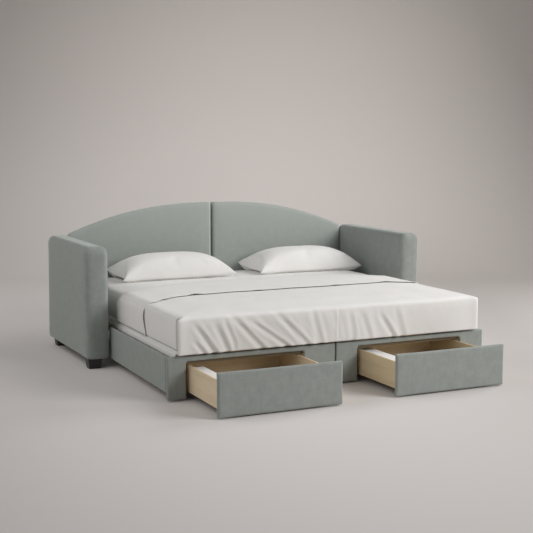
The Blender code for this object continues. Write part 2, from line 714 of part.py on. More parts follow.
def cover_mesh(name, half_width, top, radius, rear_edge, front_edge, hangs_in_front):
    """A made bed's cover, as one sheet over the top, down both sides and, if asked, the front.

    rear_edge and front_edge give y for a share that is 0 on top and 1 at the sides.
    """
    across = spread(-half_width, half_width, COVER_STEPS_ACROSS, radius)
    down = [radius / 2 + k * (top - SIDE_HEM - radius / 2) / COVER_STEPS_DOWN
            for k in range(COVER_STEPS_DOWN + 1)]
    columns = [(-half_width, top - drop) for drop in reversed(down)]
    columns += [(x, top) for x in across]
    columns += [(half_width, top - drop) for drop in down]
    steps = COVER_STEPS_DEEP
    shares = [k / steps for k in range(steps)] + [1.0]
    front_limit = front_edge(0.0) if hangs_in_front else front_edge(0.0) - top

    def place(x, y, z, lifted):
        point, out = round_over((x, y, z), half_width, front_limit, top, radius)
        return point + out * lifted

    work = bmesh.new()
    grid = []
    for x, z in columns:
        share = side_share(x) if z >= top else 1.0
        rear, front = rear_edge(share), front_edge(share)
        if hangs_in_front:
            run = [rear + (front + radius - rear) * s for s in shares]
            run += [front + radius / 2, front]
        else:
            run = [rear + (front - rear) * s for s in shares]
        grid.append([work.verts.new(place(x, y, z, 0.0)) for y in run])
    for left, right in zip(grid, grid[1:]):
        for k in range(len(left) - 1):
            work.faces.new((left[k], right[k], right[k + 1], left[k + 1]))
    if hangs_in_front:
        first = len(down)
        last = first + len(across) - 1
        front = front_edge(0.0)
        above = [column[-1] for column in grid[first:last + 1]]
        for level, drop in enumerate(down):
            z = top - drop * (top - DUVET_HEM) / (top - SIDE_HEM) if level else top - drop
            row = [grid[first - 1 - level][-1]]
            for x in across[1:-1]:
                row.append(work.verts.new(place(x, front, z, drape_folds(x, z, top))))
            row.append(grid[last + 1 + level][-1])
            row[0].co.z = row[-1].co.z = z
            for k in range(len(row) - 1):
                work.faces.new((above[k], above[k + 1], row[k + 1], row[k]))
            above = row
    bmesh.ops.recalc_face_normals(work, faces=work.faces)
    upward = sum(face.normal.z * face.calc_area() for face in work.faces)
    if upward < 0:
        bmesh.ops.reverse_faces(work, faces=work.faces)
    mesh = bpy.data.meshes.new(name)
    work.to_mesh(mesh)
    work.free()
    return mesh


def thicken(placed, thickness):
    """Gives a sheet its thickness on its inner side."""
    wall = placed.modifiers.new("thickness", "SOLIDIFY")
    wall.thickness = thickness
    wall.offset = -1
    wall.use_even_offset = True
    smooth(placed, 60)


def add_covers(duvet_look, sheet_look):
    """The duvet, and over its rear end the band of top sheet that is turned down on it."""
    def turn_rear(share):
        return REAR_Y - TURN_REAR_REACH - TURN_REAR_SWEEP * share

    def turn_front(share):
        return REAR_Y - TURN_FRONT_REACH - TURN_FRONT_SWEEP * share

    def duvet_front(share):
        return FASCIA_Y - DUVET_FRONT_OVERHANG

    top = COVER_TOP + DUVET_THICKNESS
    half = COVER_WIDTH / 2
    mesh = cover_mesh("duvet", half, top, COVER_EDGE_RADIUS, turn_rear, duvet_front, True)
    thicken(add_object("duvet", mesh, duvet_look), DUVET_THICKNESS)
    layer = SHEET_THICKNESS + SHEET_LAYER_GAP
    radius = COVER_EDGE_RADIUS + layer
    mesh = cover_mesh("top_sheet", half + layer, top + layer, radius, turn_rear, turn_front, False)
    thicken(add_object("top_sheet", mesh, sheet_look), SHEET_THICKNESS)


def pillow_point(u, v, upper, centre_x, centre_y, rest):
    """A point of a pillow: u and v run from -1 to 1 across it. The corners stick out as ears."""
    x = centre_x + u * (PILLOW_WIDTH / 2 - PILLOW_PINCH * (1 - v * v))
    y = centre_y + v * (PILLOW_DEPTH / 2 - PILLOW_PINCH * (1 - u * u))
    full = ((1 - u * u) * (1 - v * v)) ** PILLOW_FULLNESS
    seam = rest + PILLOW_SEAM_LIFT
    if upper:
        return (x, y, seam + (PILLOW_THICKNESS - PILLOW_SEAM_LIFT) * full)
    flat = min(1.0, PILLOW_FLAT_GAIN * full)
    return (x, y, seam - PILLOW_SEAM_LIFT * flat)


def add_pillow(name, centre_x, material):
    """A pillow flat on the mattress, full in the middle, with its seam out at the four ears."""
    rest = COVER_TOP
    centre_y = BACK_FACE_Y - PILLOW_BACK_GAP - PILLOW_DEPTH / 2

    def build(work):
        across = [math.sin(math.pi / 2 * (2 * k / PILLOW_STEPS_ACROSS - 1))
                  for k in range(PILLOW_STEPS_ACROSS + 1)]
        deep = [math.sin(math.pi / 2 * (2 * k / PILLOW_STEPS_DEEP - 1))
                for k in range(PILLOW_STEPS_DEEP + 1)]
        rims = {}
        for upper in (True, False):
            grid = []
            for u in across:
                column = []
                for v in deep:
                    rim = u in (across[0], across[-1]) or v in (deep[0], deep[-1])
                    if rim and (u, v) in rims:
                        column.append(rims[u, v])
                        continue
                    vertex = work.verts.new(pillow_point(u, v, upper, centre_x, centre_y, rest))
                    if rim:
                        rims[u, v] = vertex
                    column.append(vertex)
                grid.append(column)
            for left, right in zip(grid, grid[1:]):
                for k in range(len(left) - 1):
                    corners = (left[k], right[k], right[k + 1], left[k + 1])
                    work.faces.new(corners if upper else reversed(corners))

    smooth(add_object(name, mesh_from(name, build, turn_out=False), material), 60)


def main():
    clear_scene()
    looks = {
        "fabric": finish("sage_upholstery", (0.27, 0.31, 0.29), 0.9),
        "birch": finish("birch_plywood", (0.72, 0.60, 0.43), 0.55),
        "pine": finish("pine_slat", (0.70, 0.55, 0.36), 0.6),
        "foot": finish("dark_foot", (0.02, 0.018, 0.016), 0.45),
        "steel": finish("zinc_steel", (0.62, 0.63, 0.65), 0.35, 1.0),
        "wheel": finish("nylon_wheel", (0.05, 0.05, 0.055), 0.5),
        "mattress": finish("fitted_sheet", (0.80, 0.79, 0.77), 0.9),
        "duvet": finish("duvet_cotton", (0.84, 0.83, 0.81), 0.9),
        "sheet": finish("sheet_cotton", (0.82, 0.81, 0.79), 0.9),
        "pillow": finish("pillow_cotton", (0.85, 0.84, 0.82), 0.9),
    }
    for side, sign in (("left", -1), ("right", 1)):
        add_arm(side, sign, looks["fabric"])
        add_back_panel(side, sign, looks["fabric"])
        add_foot(f"front_{side}_foot", sign, True, looks["foot"])
        add_foot(f"rear_{side}_foot", sign, False, looks["foot"])
    add_fixed_frame(looks["pine"])
    base = add_joint_marker("base_slide_axis", Vector((0, FASCIA_Y, SIDE_PANEL_BOTTOM)))
    add_slats(looks["pine"], base)
    for side, sign in (("left", -1), ("right", 1)):
        add_fascia(side, sign, DRAWERS[side][0], looks["fabric"], base)
        add_side_panel(side, sign, looks["fabric"], base)
    add_cross_rails(looks["pine"], base)
    add_partitions(looks["birch"], base)
    add_wheels(looks["wheel"], base)
    add_runner_tracks(looks["steel"], base)
    for side in DRAWERS:
        add_drawer(side, base, looks)
    add_mattress(looks["mattress"], base)
    add_covers(looks["duvet"], looks["sheet"])
    add_pillow("left_pillow", LEFT_PILLOW_X, looks["pillow"])
    add_pillow("right_pillow", RIGHT_PILLOW_X, looks["pillow"])


main()
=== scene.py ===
"""The sofa bed opened out: an arched back between slab arms, a pull-out base with two drawers, and a made bed.

Run as a script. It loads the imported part, dresses it piece by piece with the operators below, and sets the
stage and the camera.
"""

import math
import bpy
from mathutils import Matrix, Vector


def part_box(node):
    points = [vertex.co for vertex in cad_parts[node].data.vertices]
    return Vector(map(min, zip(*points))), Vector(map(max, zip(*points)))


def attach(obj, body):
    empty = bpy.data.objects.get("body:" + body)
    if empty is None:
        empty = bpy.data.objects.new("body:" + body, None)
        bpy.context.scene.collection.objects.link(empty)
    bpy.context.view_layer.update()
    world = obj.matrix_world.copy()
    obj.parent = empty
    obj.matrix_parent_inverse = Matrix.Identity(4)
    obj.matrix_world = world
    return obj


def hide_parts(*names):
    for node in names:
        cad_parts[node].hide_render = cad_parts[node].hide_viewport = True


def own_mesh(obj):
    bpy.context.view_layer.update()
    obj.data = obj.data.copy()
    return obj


bl_info = {
    "name": "Sofa bed with drawers",
    "version": (1, 0, 0),
    "blender": (4, 5, 0),
    "location": "3D View > Sidebar > Sofa bed",
    "description": "Dresses the packed sofa bed in upholstery, bedding, birch and steel",
    "category": "Object",
}

import bpy
import numpy as np
from mathutils import Vector, noise

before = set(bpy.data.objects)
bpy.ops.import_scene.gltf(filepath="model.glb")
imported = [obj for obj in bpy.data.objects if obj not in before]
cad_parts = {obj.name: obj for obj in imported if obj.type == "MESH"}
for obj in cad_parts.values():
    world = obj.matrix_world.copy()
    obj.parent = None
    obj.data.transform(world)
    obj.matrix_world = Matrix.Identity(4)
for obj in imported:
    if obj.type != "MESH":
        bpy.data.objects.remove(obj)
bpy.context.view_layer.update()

BASE = "pullout_base"
SOFA = "sofa"
DRAWERS = ("left_drawer", "right_drawer")
DUVET_LOW, DUVET_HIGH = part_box("duvet")
SHEET_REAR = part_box("top_sheet")[1].y
FIRM = 4.0  # air pressure in the padding, in the cloth simulation
FLAT_SLACK = 0.0002  # how far the padding may stand out where a drawer closes against the fascia
COVER_RISE = 0.004  # how far the duvet's top lies above its solid's
WARM_WHITE = (1.0, 0.993, 0.985)
WAVE_SCALE = 0.314  # a wave texture of this scale has bands 1 m apart
PLY_PITCH = 0.0029  # distance between the dark sheets of plywood


# ---------------------------------------------------------------- settings


class UpholsterySettings(bpy.types.PropertyGroup):
    """Sizes and colours of the padded panels"""

    colour: bpy.props.FloatVectorProperty(
        name="Cloth colour", description="Colour of the sage upholstery cloth", subtype="COLOR", size=3, min=0, max=1,
        default=(0.316, 0.337, 0.320)
    )
    shade: bpy.props.FloatVectorProperty(
        name="Cloth shade", description="Colour of the cloth where its pile lies away", subtype="COLOR", size=3,
        min=0, max=1, default=(0.248, 0.270, 0.254)
    )
    thread: bpy.props.FloatProperty(
        name="Thread spacing", description="Distance from one thread of the weave to the next", unit="LENGTH",
        default=0.0022, min=0.0008
    )
    slab_voxel: bpy.props.FloatProperty(
        name="Slab mesh size", description="Mesh size of the arms and the back", unit="LENGTH", default=0.011,
        min=0.006
    )
    panel_voxel: bpy.props.FloatProperty(
        name="Panel mesh size", description="Mesh size of the base panels and the drawer fronts", unit="LENGTH",
        default=0.005, min=0.003
    )
    slab_swell: bpy.props.FloatProperty(
        name="Slab swell", description="How far the padding of the arms and the back may stand out", unit="LENGTH",
        default=0.005, min=0
    )
    arm_padding: bpy.props.FloatProperty(
        name="Left arm padding", description="How much further the left arm's padding reaches towards the bed",
        unit="LENGTH", default=0.024, min=0
    )
    arm_swell: bpy.props.FloatProperty(
        name="Right arm swell", description="How much further the right arm's padding reaches outwards",
        unit="LENGTH", default=0.015, min=0
    )
    top_padding: bpy.props.FloatProperty(
        name="Top padding", description="How much higher the padding stands on the arms and the back", unit="LENGTH",
        default=0.006, min=0
    )
    hem_drop: bpy.props.FloatProperty(
        name="Hem drop", description="How far the arms' padding hangs below their frames", unit="LENGTH",
        default=0.008, min=0
    )
    arch_padding: bpy.props.FloatProperty(
        name="Arch padding", description="How much fuller still the arch is halfway down each side", unit="LENGTH",
        default=0.013, min=0
    )
    panel_swell: bpy.props.FloatProperty(
        name="Panel swell", description="How far the padding of the thin panels may stand out", unit="LENGTH",
        default=0.002, min=0
    )


class BeddingSettings(bpy.types.PropertyGroup):
    """Sizes and colours of the mattress, the covers and the pillows"""

    duvet_colour: bpy.props.FloatVectorProperty(
        name="Duvet colour", description="Colour of the duvet cover", subtype="COLOR", size=3, min=0, max=1,
        default=(0.82, 0.805, 0.788)
    )
    sheet_colour: bpy.props.FloatVectorProperty(
        name="Sheet colour", description="Colour of the top sheet and the fitted sheet", subtype="COLOR", size=3,
        min=0, max=1, default=(0.82, 0.805, 0.785)
    )
    pillow_colour: bpy.props.FloatVectorProperty(
        name="Pillow colour", description="Colour of the pillowcases", subtype="COLOR", size=3, min=0, max=1,
        default=(0.82, 0.805, 0.785)
    )
    edge_radius: bpy.props.FloatProperty(
        name="Edge radius", description="Radius of the duvet where it turns over the edge of the bed", unit="LENGTH",
        default=0.058, min=0.01
    )
    crown: bpy.props.FloatProperty(
        name="Bed crown", description="How much lower the covers lie at the bed's edges than in its middle",
        unit="LENGTH", default=0.012, min=0
    )
    duvet_thickness: bpy.props.FloatProperty(
        name="Duvet thickness", description="Thickness of the duvet at its hem", unit="LENGTH", default=0.007,
        min=0.002
    )
    sheet_thickness: bpy.props.FloatProperty(
        name="Sheet thickness", description="Thickness of the turned-down sheet at its hem", unit="LENGTH",
        default=0.003, min=0.001
    )
    sheet_gap: bpy.props.FloatProperty(
        name="Sheet gap", description="How far the turned-down sheet lies above the duvet", unit="LENGTH",
        default=0.004, min=0.001
    )
    side_hem: bpy.props.FloatProperty(
        name="Side hem height", description="Height of the covers' side hems above the floor", unit="LENGTH",
        default=0.281, min=0.2
    )
    fold_depth: bpy.props.FloatProperty(
        name="Fold depth", description="Depth of the deepest fold of the duvet's front", unit="LENGTH",
        default=0.0105, min=0
    )
    pillow_fullness: bpy.props.FloatProperty(
        name="Pillow pressure", description="Air pressure that fills the pillows in the cloth simulation",
        default=4.0, min=0
    )
    pillow_rise: bpy.props.FloatProperty(
        name="Pillow rise", description="How far the filled pillows stand above their solids", unit="LENGTH",
        default=0.009, min=0
    )
    ear_reach: bpy.props.FloatProperty(
        name="Ear reach", description="How far the pillows' corners reach past their solids", unit="LENGTH",
        default=0.006, min=0
    )
    pillow_spare: bpy.props.FloatProperty(
        name="Pillow spare cloth",
        description="Share by which a pillowcase is larger than its filling, which creases it", default=0.035, min=0,
        max=0.2
    )


class WoodSettings(bpy.types.PropertyGroup):
    """Colours of the wooden and metal pieces"""

    birch: bpy.props.FloatVectorProperty(
        name="Birch colour", description="Colour of the birch plywood", subtype="COLOR", size=3, min=0, max=1,
        default=(0.80, 0.66, 0.47)
    )
    pine: bpy.props.FloatVectorProperty(
        name="Pine colour", description="Colour of the slats and rails", subtype="COLOR", size=3, min=0, max=1,
        default=(0.60, 0.45, 0.28)
    )
    foot: bpy.props.FloatVectorProperty(
        name="Foot colour", description="Colour of the stained feet", subtype="COLOR", size=3, min=0, max=1,
        default=(0.012, 0.010, 0.009)
    )
    steel: bpy.props.FloatVectorProperty(
        name="Steel colour", description="Colour of the zinc plated runners", subtype="COLOR", size=3, min=0, max=1,
        default=(0.62, 0.63, 0.65)
    )


class StageSettings(bpy.types.PropertyGroup):
    """The floor, the backdrop, the lamps and the camera"""

    paper_tone: bpy.props.FloatProperty(
        name="Paper tone", description="Lightness of the floor and backdrop, where 1 is that of the photograph's",
        default=1.0, min=0.1, max=1.2
    )
    camera_place: bpy.props.FloatVectorProperty(
        name="Camera place", description="Where the camera stands", subtype="TRANSLATION", unit="LENGTH", size=3,
        default=(-2.988, -6.191, 1.435)
    )
    camera_pitch: bpy.props.FloatProperty(
        name="Camera pitch", description="How far the camera looks down", subtype="ANGLE", default=math.radians(6.828)
    )
    camera_heading: bpy.props.FloatProperty(
        name="Camera heading", description="How far the camera is turned to the right", subtype="ANGLE",
        default=math.radians(25.064)
    )
    camera_lens: bpy.props.FloatProperty(
        name="Camera lens", description="Focal length in millimetres on a 36 mm sensor", default=73.1, min=10
    )
    key: bpy.props.FloatProperty(
        name="Front right lamp", description="Power of the large soft lamp at the front right, in watts",
        default=260.0, min=0
    )
    right: bpy.props.FloatProperty(
        name="Right lamp", description="Power of the soft lamp at the right, in watts", default=130.0, min=0
    )
    left: bpy.props.FloatProperty(
        name="Left lamp", description="Power of the soft lamp at the left, in watts", default=35.0, min=0
    )
    left_high: bpy.props.FloatProperty(
        name="High left lamp", description="Power of the soft lamp high up at the rear left, in watts", default=60.0,
        min=0
    )
    fill: bpy.props.FloatProperty(
        name="World fill", description="Strength of the world's even light", default=0.19, min=0
    )


# ---------------------------------------------------------------- making and shaping


def pick(*objs):
    """Selects these objects alone; the last one is active."""
    if bpy.context.mode != "OBJECT":
        bpy.ops.object.mode_set(mode="OBJECT")
    bpy.ops.object.select_all(action="DESELECT")
    for obj in objs:
        obj.select_set(True)
        bpy.context.view_layer.objects.active = obj


def apply_modifiers(obj):
    pick(obj)
    for modifier in list(obj.modifiers):
        bpy.ops.object.modifier_apply(modifier=modifier.name)


def points_of(obj):
    flat = np.empty(len(obj.data.vertices) * 3)
    obj.data.vertices.foreach_get("co", flat)
    return flat.reshape(-1, 3)


def move_points(obj, points):
    obj.data.vertices.foreach_set("co", np.ascontiguousarray(points).ravel())
    obj.data.update()


def normals_of(obj):
    flat = np.empty(len(obj.data.vertices) * 3)
    obj.data.vertices.foreach_get("normal", flat)
    return flat.reshape(-1, 3)


def eased(value, low, high):
    """0 below low, 1 above high and a smooth rise between them."""
    share = np.clip((np.asarray(value, float) - low) / (high - low), 0, 1)
    return share * share * (3 - 2 * share)


def ripple(points, spacing, seed):
    """A smooth random height from about -1 to 1 at each point, whose waves are about spacing apart."""
    shift = Vector((seed * 7.1, seed * 3.7, seed * 5.3))
    return np.array([noise.noise(Vector(p) / spacing + shift) for p in points])


def mesh_object(name, points, faces):
    mesh = bpy.data.meshes.new(name)
    mesh.from_pydata([tuple(p) for p in points], [], faces)
    mesh.validate()
    obj = bpy.data.objects.new(name, mesh)
    bpy.context.scene.collection.objects.link(obj)
    return obj


def net_of(lines, points_each):
    """Quads over a net of lines with so many points each."""
    corners = [i * points_each + k for i in range(lines - 1) for k in range(points_each - 1)]
    return [(a, a + 1, a + points_each + 1, a + points_each) for a in corners]


def thicken(obj, thickness, offset=-1):
    """Gives a single-walled sheet its thickness."""
    cloth = obj.modifiers.new("cloth", "SOLIDIFY")
    cloth.thickness = thickness
    cloth.offset = offset
    apply_modifiers(obj)


def twin_of(obj, name):
    """A copy with a mesh of its own."""
    twin = obj.copy()
    twin.data = obj.data.copy()
    twin.name = twin.data.name = name
    bpy.context.scene.collection.objects.link(twin)
    return twin


def paint_shade(obj, values):
    """How much light the depth of a crease keeps from each point; the cotton's colour follows it."""
    layer = obj.data.attributes.new("shade", "FLOAT", "POINT")
    layer.data.foreach_set("value", np.clip(values, 0, 1))


def smooth(obj, degrees=None):
    pick(obj)
    if degrees is None:
        bpy.ops.object.shade_smooth()
    else:
        bpy.ops.object.shade_smooth_by_angle(angle=math.radians(degrees))


def skin_of(name, node, voxel, rounds):
    """A closed skin of even quads over a CAD solid, with its edges softened."""
    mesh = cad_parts[node].data.copy()
    mesh.name = name
    mesh.materials.clear()
    obj = bpy.data.objects.new(name, mesh)
    bpy.context.scene.collection.objects.link(obj)
    pick(obj)
    bpy.ops.object.mode_set(mode="EDIT")
    bpy.ops.mesh.select_all(action="SELECT")
    bpy.ops.mesh.remove_doubles(threshold=0.0001)
    bpy.ops.object.mode_set(mode="OBJECT")
    net = obj.modifiers.new("net", "REMESH")
    net.mode = "VOXEL"
    net.voxel_size = voxel
    ease = obj.modifiers.new("ease", "SMOOTH")
    ease.factor = 0.5
    ease.iterations = rounds
    apply_modifiers(obj)
    return obj


def inflate(obj, pressure, cap, frames=20, grown=0.0):
    """Fills a closed skin with air in the cloth simulation; no point moves further than cap.

    grown is the share of spare cloth that creases it.
    """
    start = points_of(obj)
    pick(obj)
    air = obj.modifiers.new("air", "CLOTH")
    air.settings.quality = 4
    air.settings.use_pressure = True
    air.settings.uniform_pressure_force = pressure
    air.settings.effector_weights.gravity = 0
    air.settings.shrink_min = -grown
    air.collision_settings.use_collision = False
    air.point_cache.frame_start = 1
    air.point_cache.frame_end = frames
    scene = bpy.context.scene
    for at in range(1, frames + 1):
        scene.frame_set(at)
    bpy.ops.object.modifier_apply(modifier=air.name)
    scene.frame_set(1)
    move = points_of(obj) - start
    length = np.linalg.norm(move, axis=1, keepdims=True)
    move_points(obj, start + move * np.minimum(1, cap / np.maximum(length, 1e-9)))


def finish_piece(obj, body, slot, material, *nodes):
    """The piece gets its material, rides on its body and stands for its CAD nodes. The slot argument is not used."""
    obj.data.materials.clear()
    obj.data.materials.append(material)
    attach(obj, body)
    if nodes:
        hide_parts(*nodes)


# ---------------------------------------------------------------- materials


def node(tree, kind, inputs=None, **settings):
    """A shader node with its settings, and its inputs set or linked."""
    made = tree.nodes.new(kind)
    for key, value in settings.items():
        setattr(made, key, value)
    for key, value in (inputs or {}).items():
        if isinstance(value, bpy.types.NodeSocket):
            tree.links.new(value, made.inputs[key])
        else:
            made.inputs[key].default_value = value
    return made


def blank_material(name, **constants):
    """A material, its node tree, its shader and the object's own coordinates."""
    mat = bpy.data.materials.new(name)
    mat.use_nodes = True
    tree = mat.node_tree
    shader = tree.nodes["Principled BSDF"]
    for key, value in constants.items():
        shader.inputs[key.replace("_", " ")].default_value = value
    place = tree.nodes.new("ShaderNodeTexCoord").outputs["Object"]
    return mat, tree, shader, place


def stretched(tree, place, scale):
    return node(tree, "ShaderNodeMapping", {"Vector": place, "Scale": scale}).outputs["Vector"]


def speckle(tree, place, size, detail=2.0, rough=0.5):
    """Noise from 0 to 1 whose blotches are about size metres apart."""
    inputs = {"Vector": place, "Scale": 1 / size, "Detail": detail, "Roughness": rough}
    return node(tree, "ShaderNodeTexNoise", inputs).outputs["Fac"]


def sum_of(tree, *parts):
    """Each (socket, weight) times its weight, added up."""
    total = None
    for socket, weight in parts:
        part = node(tree, "ShaderNodeMath", {0: socket, 1: weight}, operation="MULTIPLY").outputs[0]
        total = part if total is None else node(
            tree, "ShaderNodeMath", {0: total, 1: part}, operation="ADD"
        ).outputs[0]
    return total


def ramp(tree, value, *stops):
    """A colour ramp over value with (place, colour) stops."""
    made = node(tree, "ShaderNodeValToRGB", {"Fac": value})
    while len(made.color_ramp.elements) < len(stops):
        made.color_ramp.elements.new(0.5)
    for element, (at, colour) in zip(made.color_ramp.elements, stops):
        element.position = at
        element.color = (*colour, 1)
    return made.outputs["Color"]


def ranged(tree, value, low, high, start=0.0, end=1.0):
    inputs = {"Value": value, "From Min": start, "From Max": end, "To Min": low, "To Max": high}
    return node(tree, "ShaderNodeMapRange", inputs).outputs["Result"]


def near_upright(tree, place, x, y, radius, both=True):
    """1 on the upright line at x, y (and -x, y) and 0 further than radius from it."""
    parts = node(tree, "ShaderNodeSeparateXYZ", {"Vector": place}).outputs
    across = node(tree, "ShaderNodeMath", {0: parts["X"]}, operation="ABSOLUTE").outputs[0] if both else parts["X"]
    off_x = node(tree, "ShaderNodeMath", {0: across, 1: x}, operation="SUBTRACT").outputs[0]
    off_y = node(tree, "ShaderNodeMath", {0: parts["Y"], 1: y}, operation="SUBTRACT").outputs[0]
    off = node(tree, "ShaderNodeCombineXYZ", {"X": off_x, "Y": off_y}).outputs[0]
    away = node(tree, "ShaderNodeVectorMath", {0: off}, operation="LENGTH").outputs["Value"]
    inputs = {"Value": away, "From Min": 0.0, "From Max": radius, "To Min": 1.0, "To Max": 0.0}
    return node(tree, "ShaderNodeMapRange", inputs, interpolation_type="SMOOTHSTEP").outputs["Result"]


def weave(tree, place, thread):
    """Crossed threads: waves along all three axes, so that any level or upright face shows two sets."""
    inputs = {"Vector": place, "Scale": WAVE_SCALE / thread, "Distortion": 0.6, "Detail": 1.0}
    waves = [node(tree, "ShaderNodeTexWave", inputs, bands_direction=axis).outputs["Fac"] for axis in "XYZ"]
    return sum_of(tree, *((wave, 0.33) for wave in waves))


def bumped(tree, shader, *layers):
    """Stacks bump layers of (height, strength, distance) under the shader's normal."""
    normal = None
    for height, strength, distance in layers:
        inputs = {"Height": height, "Strength": strength, "Distance": distance}
        if normal:
            inputs["Normal"] = normal
        normal = node(tree, "ShaderNodeBump", inputs).outputs["Normal"]
    tree.links.new(normal, shader.inputs["Normal"])


def upholstery_cloth():
    """Short-piled woven cloth with a soft sheen and fine upright streaks."""
    if "sage upholstery cloth" in bpy.data.materials:
        return bpy.data.materials["sage upholstery cloth"]
    choice = bpy.context.scene.sofa_upholstery
    mat, tree, shader, place = blank_material(
        "sage upholstery cloth", Sheen_Weight=0.45, Sheen_Roughness=0.42, Sheen_Tint=(0.86, 0.92, 0.87, 1),
        Specular_IOR_Level=0.25
    )
    blotches = speckle(tree, place, 0.045, 3.0)
    warp = speckle(tree, stretched(tree, place, (1, 1, 0.14)), 0.009, 3.0, 0.6)
    weft = speckle(tree, stretched(tree, place, (0.14, 0.14, 1)), 0.008, 3.0, 0.6)
    pile = speckle(tree, place, 0.0024, 2.0)
    streaks = sum_of(tree, (warp, 0.6), (weft, 0.4))
    tone = sum_of(tree, (blotches, 0.36), (streaks, 0.40), (pile, 0.24))
    colour = ramp(tree, tone, (0.36, choice.shade), (0.64, choice.colour))
    # The arms' fronts: painted shade along the outer corner and a painted highlight along the inner one.
    arm_low, arm_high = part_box("right_arm")
    outer = near_upright(tree, place, arm_high.x - 0.004, arm_low.y + 0.004, 0.020)
    inner = near_upright(tree, place, arm_low.x - choice.arm_padding / 2 + 0.004, arm_low.y + 0.004, 0.018)
    colour = mixed(tree, ranged(tree, outer, 0, 0.55), colour, (*(c * 0.45 for c in choice.shade), 1))
    colour = mixed(tree, ranged(tree, inner, 0, 0.5), colour, (*(min(1, c * 1.5) for c in choice.colour), 1))
    # On the back, painted light: its colour gets lighter towards the top.
    parts = node(tree, "ShaderNodeSeparateXYZ", {"Vector": place}).outputs
    back_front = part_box("left_back_panel")[0].y
    rear = node(tree, "ShaderNodeMath", {0: parts["Y"], 1: back_front - 0.02}, operation="GREATER_THAN").outputs[0]
    height = ranged(tree, parts["Z"], 0.0, 0.85, 0.40, 0.95)
    painted_top_light = node(tree, "ShaderNodeMath", {0: rear, 1: height}, operation="MULTIPLY").outputs[0]
    colour = mixed(tree, painted_top_light, colour, (*(c * 1.27 for c in choice.colour), 1))
    # A painted highlight on the left half of the back, along its edge at the joint.
    joint = near_upright(tree, place, -0.016, back_front + 0.004, 0.012, both=False)
    colour = mixed(tree, ranged(tree, joint, 0, 0.4), colour, (*(min(1, c * 1.9) for c in choice.colour), 1))
    tree.links.new(colour, shader.inputs["Base Color"])
    tree.links.new(ranged(tree, pile, 0.78, 0.98), shader.inputs["Roughness"])
    bumped(
        tree, shader, (blotches, 0.10, 0.004), (streaks, 0.25, 0.0012), (pile, 0.5, 0.0006),
        (weave(tree, place, choice.thread), 0.45, 0.0005)
    )
    return mat


def washed_cotton(name, colour, crease=0.5):
    """Soft washed cotton with a fine weave and faint creases."""
    if name in bpy.data.materials:
        return bpy.data.materials[name]
    mat, tree, shader, place = blank_material(name, Sheen_Weight=0.15, Sheen_Roughness=0.5, Specular_IOR_Level=0.22)
    clouds = speckle(tree, place, 0.16, 2.0)
    slubs = speckle(tree, stretched(tree, place, (1, 0.08, 1)), 0.004, 2.0)
    creases = speckle(tree, place, 0.05, 4.0, 0.55)
    low = tuple(c * 0.965 for c in colour)
    plain = ramp(tree, sum_of(tree, (clouds, 0.7), (slubs, 0.3)), (0.35, low), (0.65, colour))
    # Painted shade: the colour darkens as far as the "shade" attribute says, in creases and folds.
    painted_shade = node(tree, "ShaderNodeAttribute", attribute_name="shade").outputs["Fac"]
    tree.links.new(mixed(tree, painted_shade, plain, (*(c * 0.25 for c in colour), 1)), shader.inputs["Base Color"])
    tree.links.new(ranged(tree, slubs, 0.80, 0.95), shader.inputs["Roughness"])
    bumped(
        tree, shader, (clouds, 0.25 * crease, 0.02), (creases, 0.30 * crease, 0.006), (slubs, 0.2, 0.0004),
        (weave(tree, place, 0.0009), 0.25, 0.0002)
    )
    return mat


def wood(name, colour, along, gloss, layers=None):
    """Planed wood with its grain along one axis.

    layers is the axis across which plywood shows its sheets on top edges.
    """
    if name in bpy.data.materials:
        return bpy.data.materials[name]
    mat, tree, shader, place = blank_material(
        name, Coat_Weight=0.15 if gloss else 0.0, Coat_Roughness=0.35, Specular_IOR_Level=0.4
    )
    across = [1.0, 1.0, 1.0]
    across["xyz".index(along)] = 0.06
    fibres = speckle(tree, stretched(tree, place, across), 0.006, 4.0, 0.62)
    flames = speckle(tree, stretched(tree, place, across), 0.05, 3.0, 0.5)
    pores = speckle(tree, stretched(tree, place, [0.3 + a for a in across]), 0.0016, 2.0)
    tone = sum_of(tree, (fibres, 0.42), (flames, 0.43), (pores, 0.15))
    dark = tuple(c * k for c, k in zip(colour, (0.80, 0.76, 0.70)))
    light = tuple(min(1, c * k) for c, k in zip(colour, (1.10, 1.09, 1.06)))
    face = ramp(tree, tone, (0.30, dark), (0.52, colour), (0.70, light))
    if layers:
        ply = node(
            tree, "ShaderNodeTexWave",
            {"Vector": place, "Scale": WAVE_SCALE / PLY_PITCH, "Distortion": 0.15, "Detail": 1.0},
            bands_direction=layers.upper()
        )
        glue = tuple(c * k for c, k in zip(colour, (0.62, 0.55, 0.46)))
        sheets = ramp(tree, ply.outputs["Fac"], (0.30, glue), (0.62, light))
        facing = node(tree, "ShaderNodeNewGeometry").outputs["Normal"]
        level = node(tree, "ShaderNodeSeparateXYZ", {"Vector": facing}).outputs["Z"]
        up = node(tree, "ShaderNodeMath", {0: level, 1: 0.7}, operation="GREATER_THAN").outputs[0]
        face = mixed(tree, up, face, sheets)
    tree.links.new(face, shader.inputs["Base Color"])
    rough = (0.42, 0.62) if gloss else (0.6, 0.8)
    tree.links.new(ranged(tree, fibres, *rough), shader.inputs["Roughness"])
    bumped(tree, shader, (fibres, 0.25, 0.0006), (pores, 0.3, 0.0003))
    return mat


def mixed(tree, share, first, second):
    made = node(tree, "ShaderNodeMix", data_type="RGBA")
    tree.links.new(share, made.inputs[0])
    for socket, value in ((made.inputs[6], first), (made.inputs[7], second)):
        if isinstance(value, bpy.types.NodeSocket):
            tree.links.new(value, socket)
        else:
            socket.default_value = value
    return made.outputs[2]


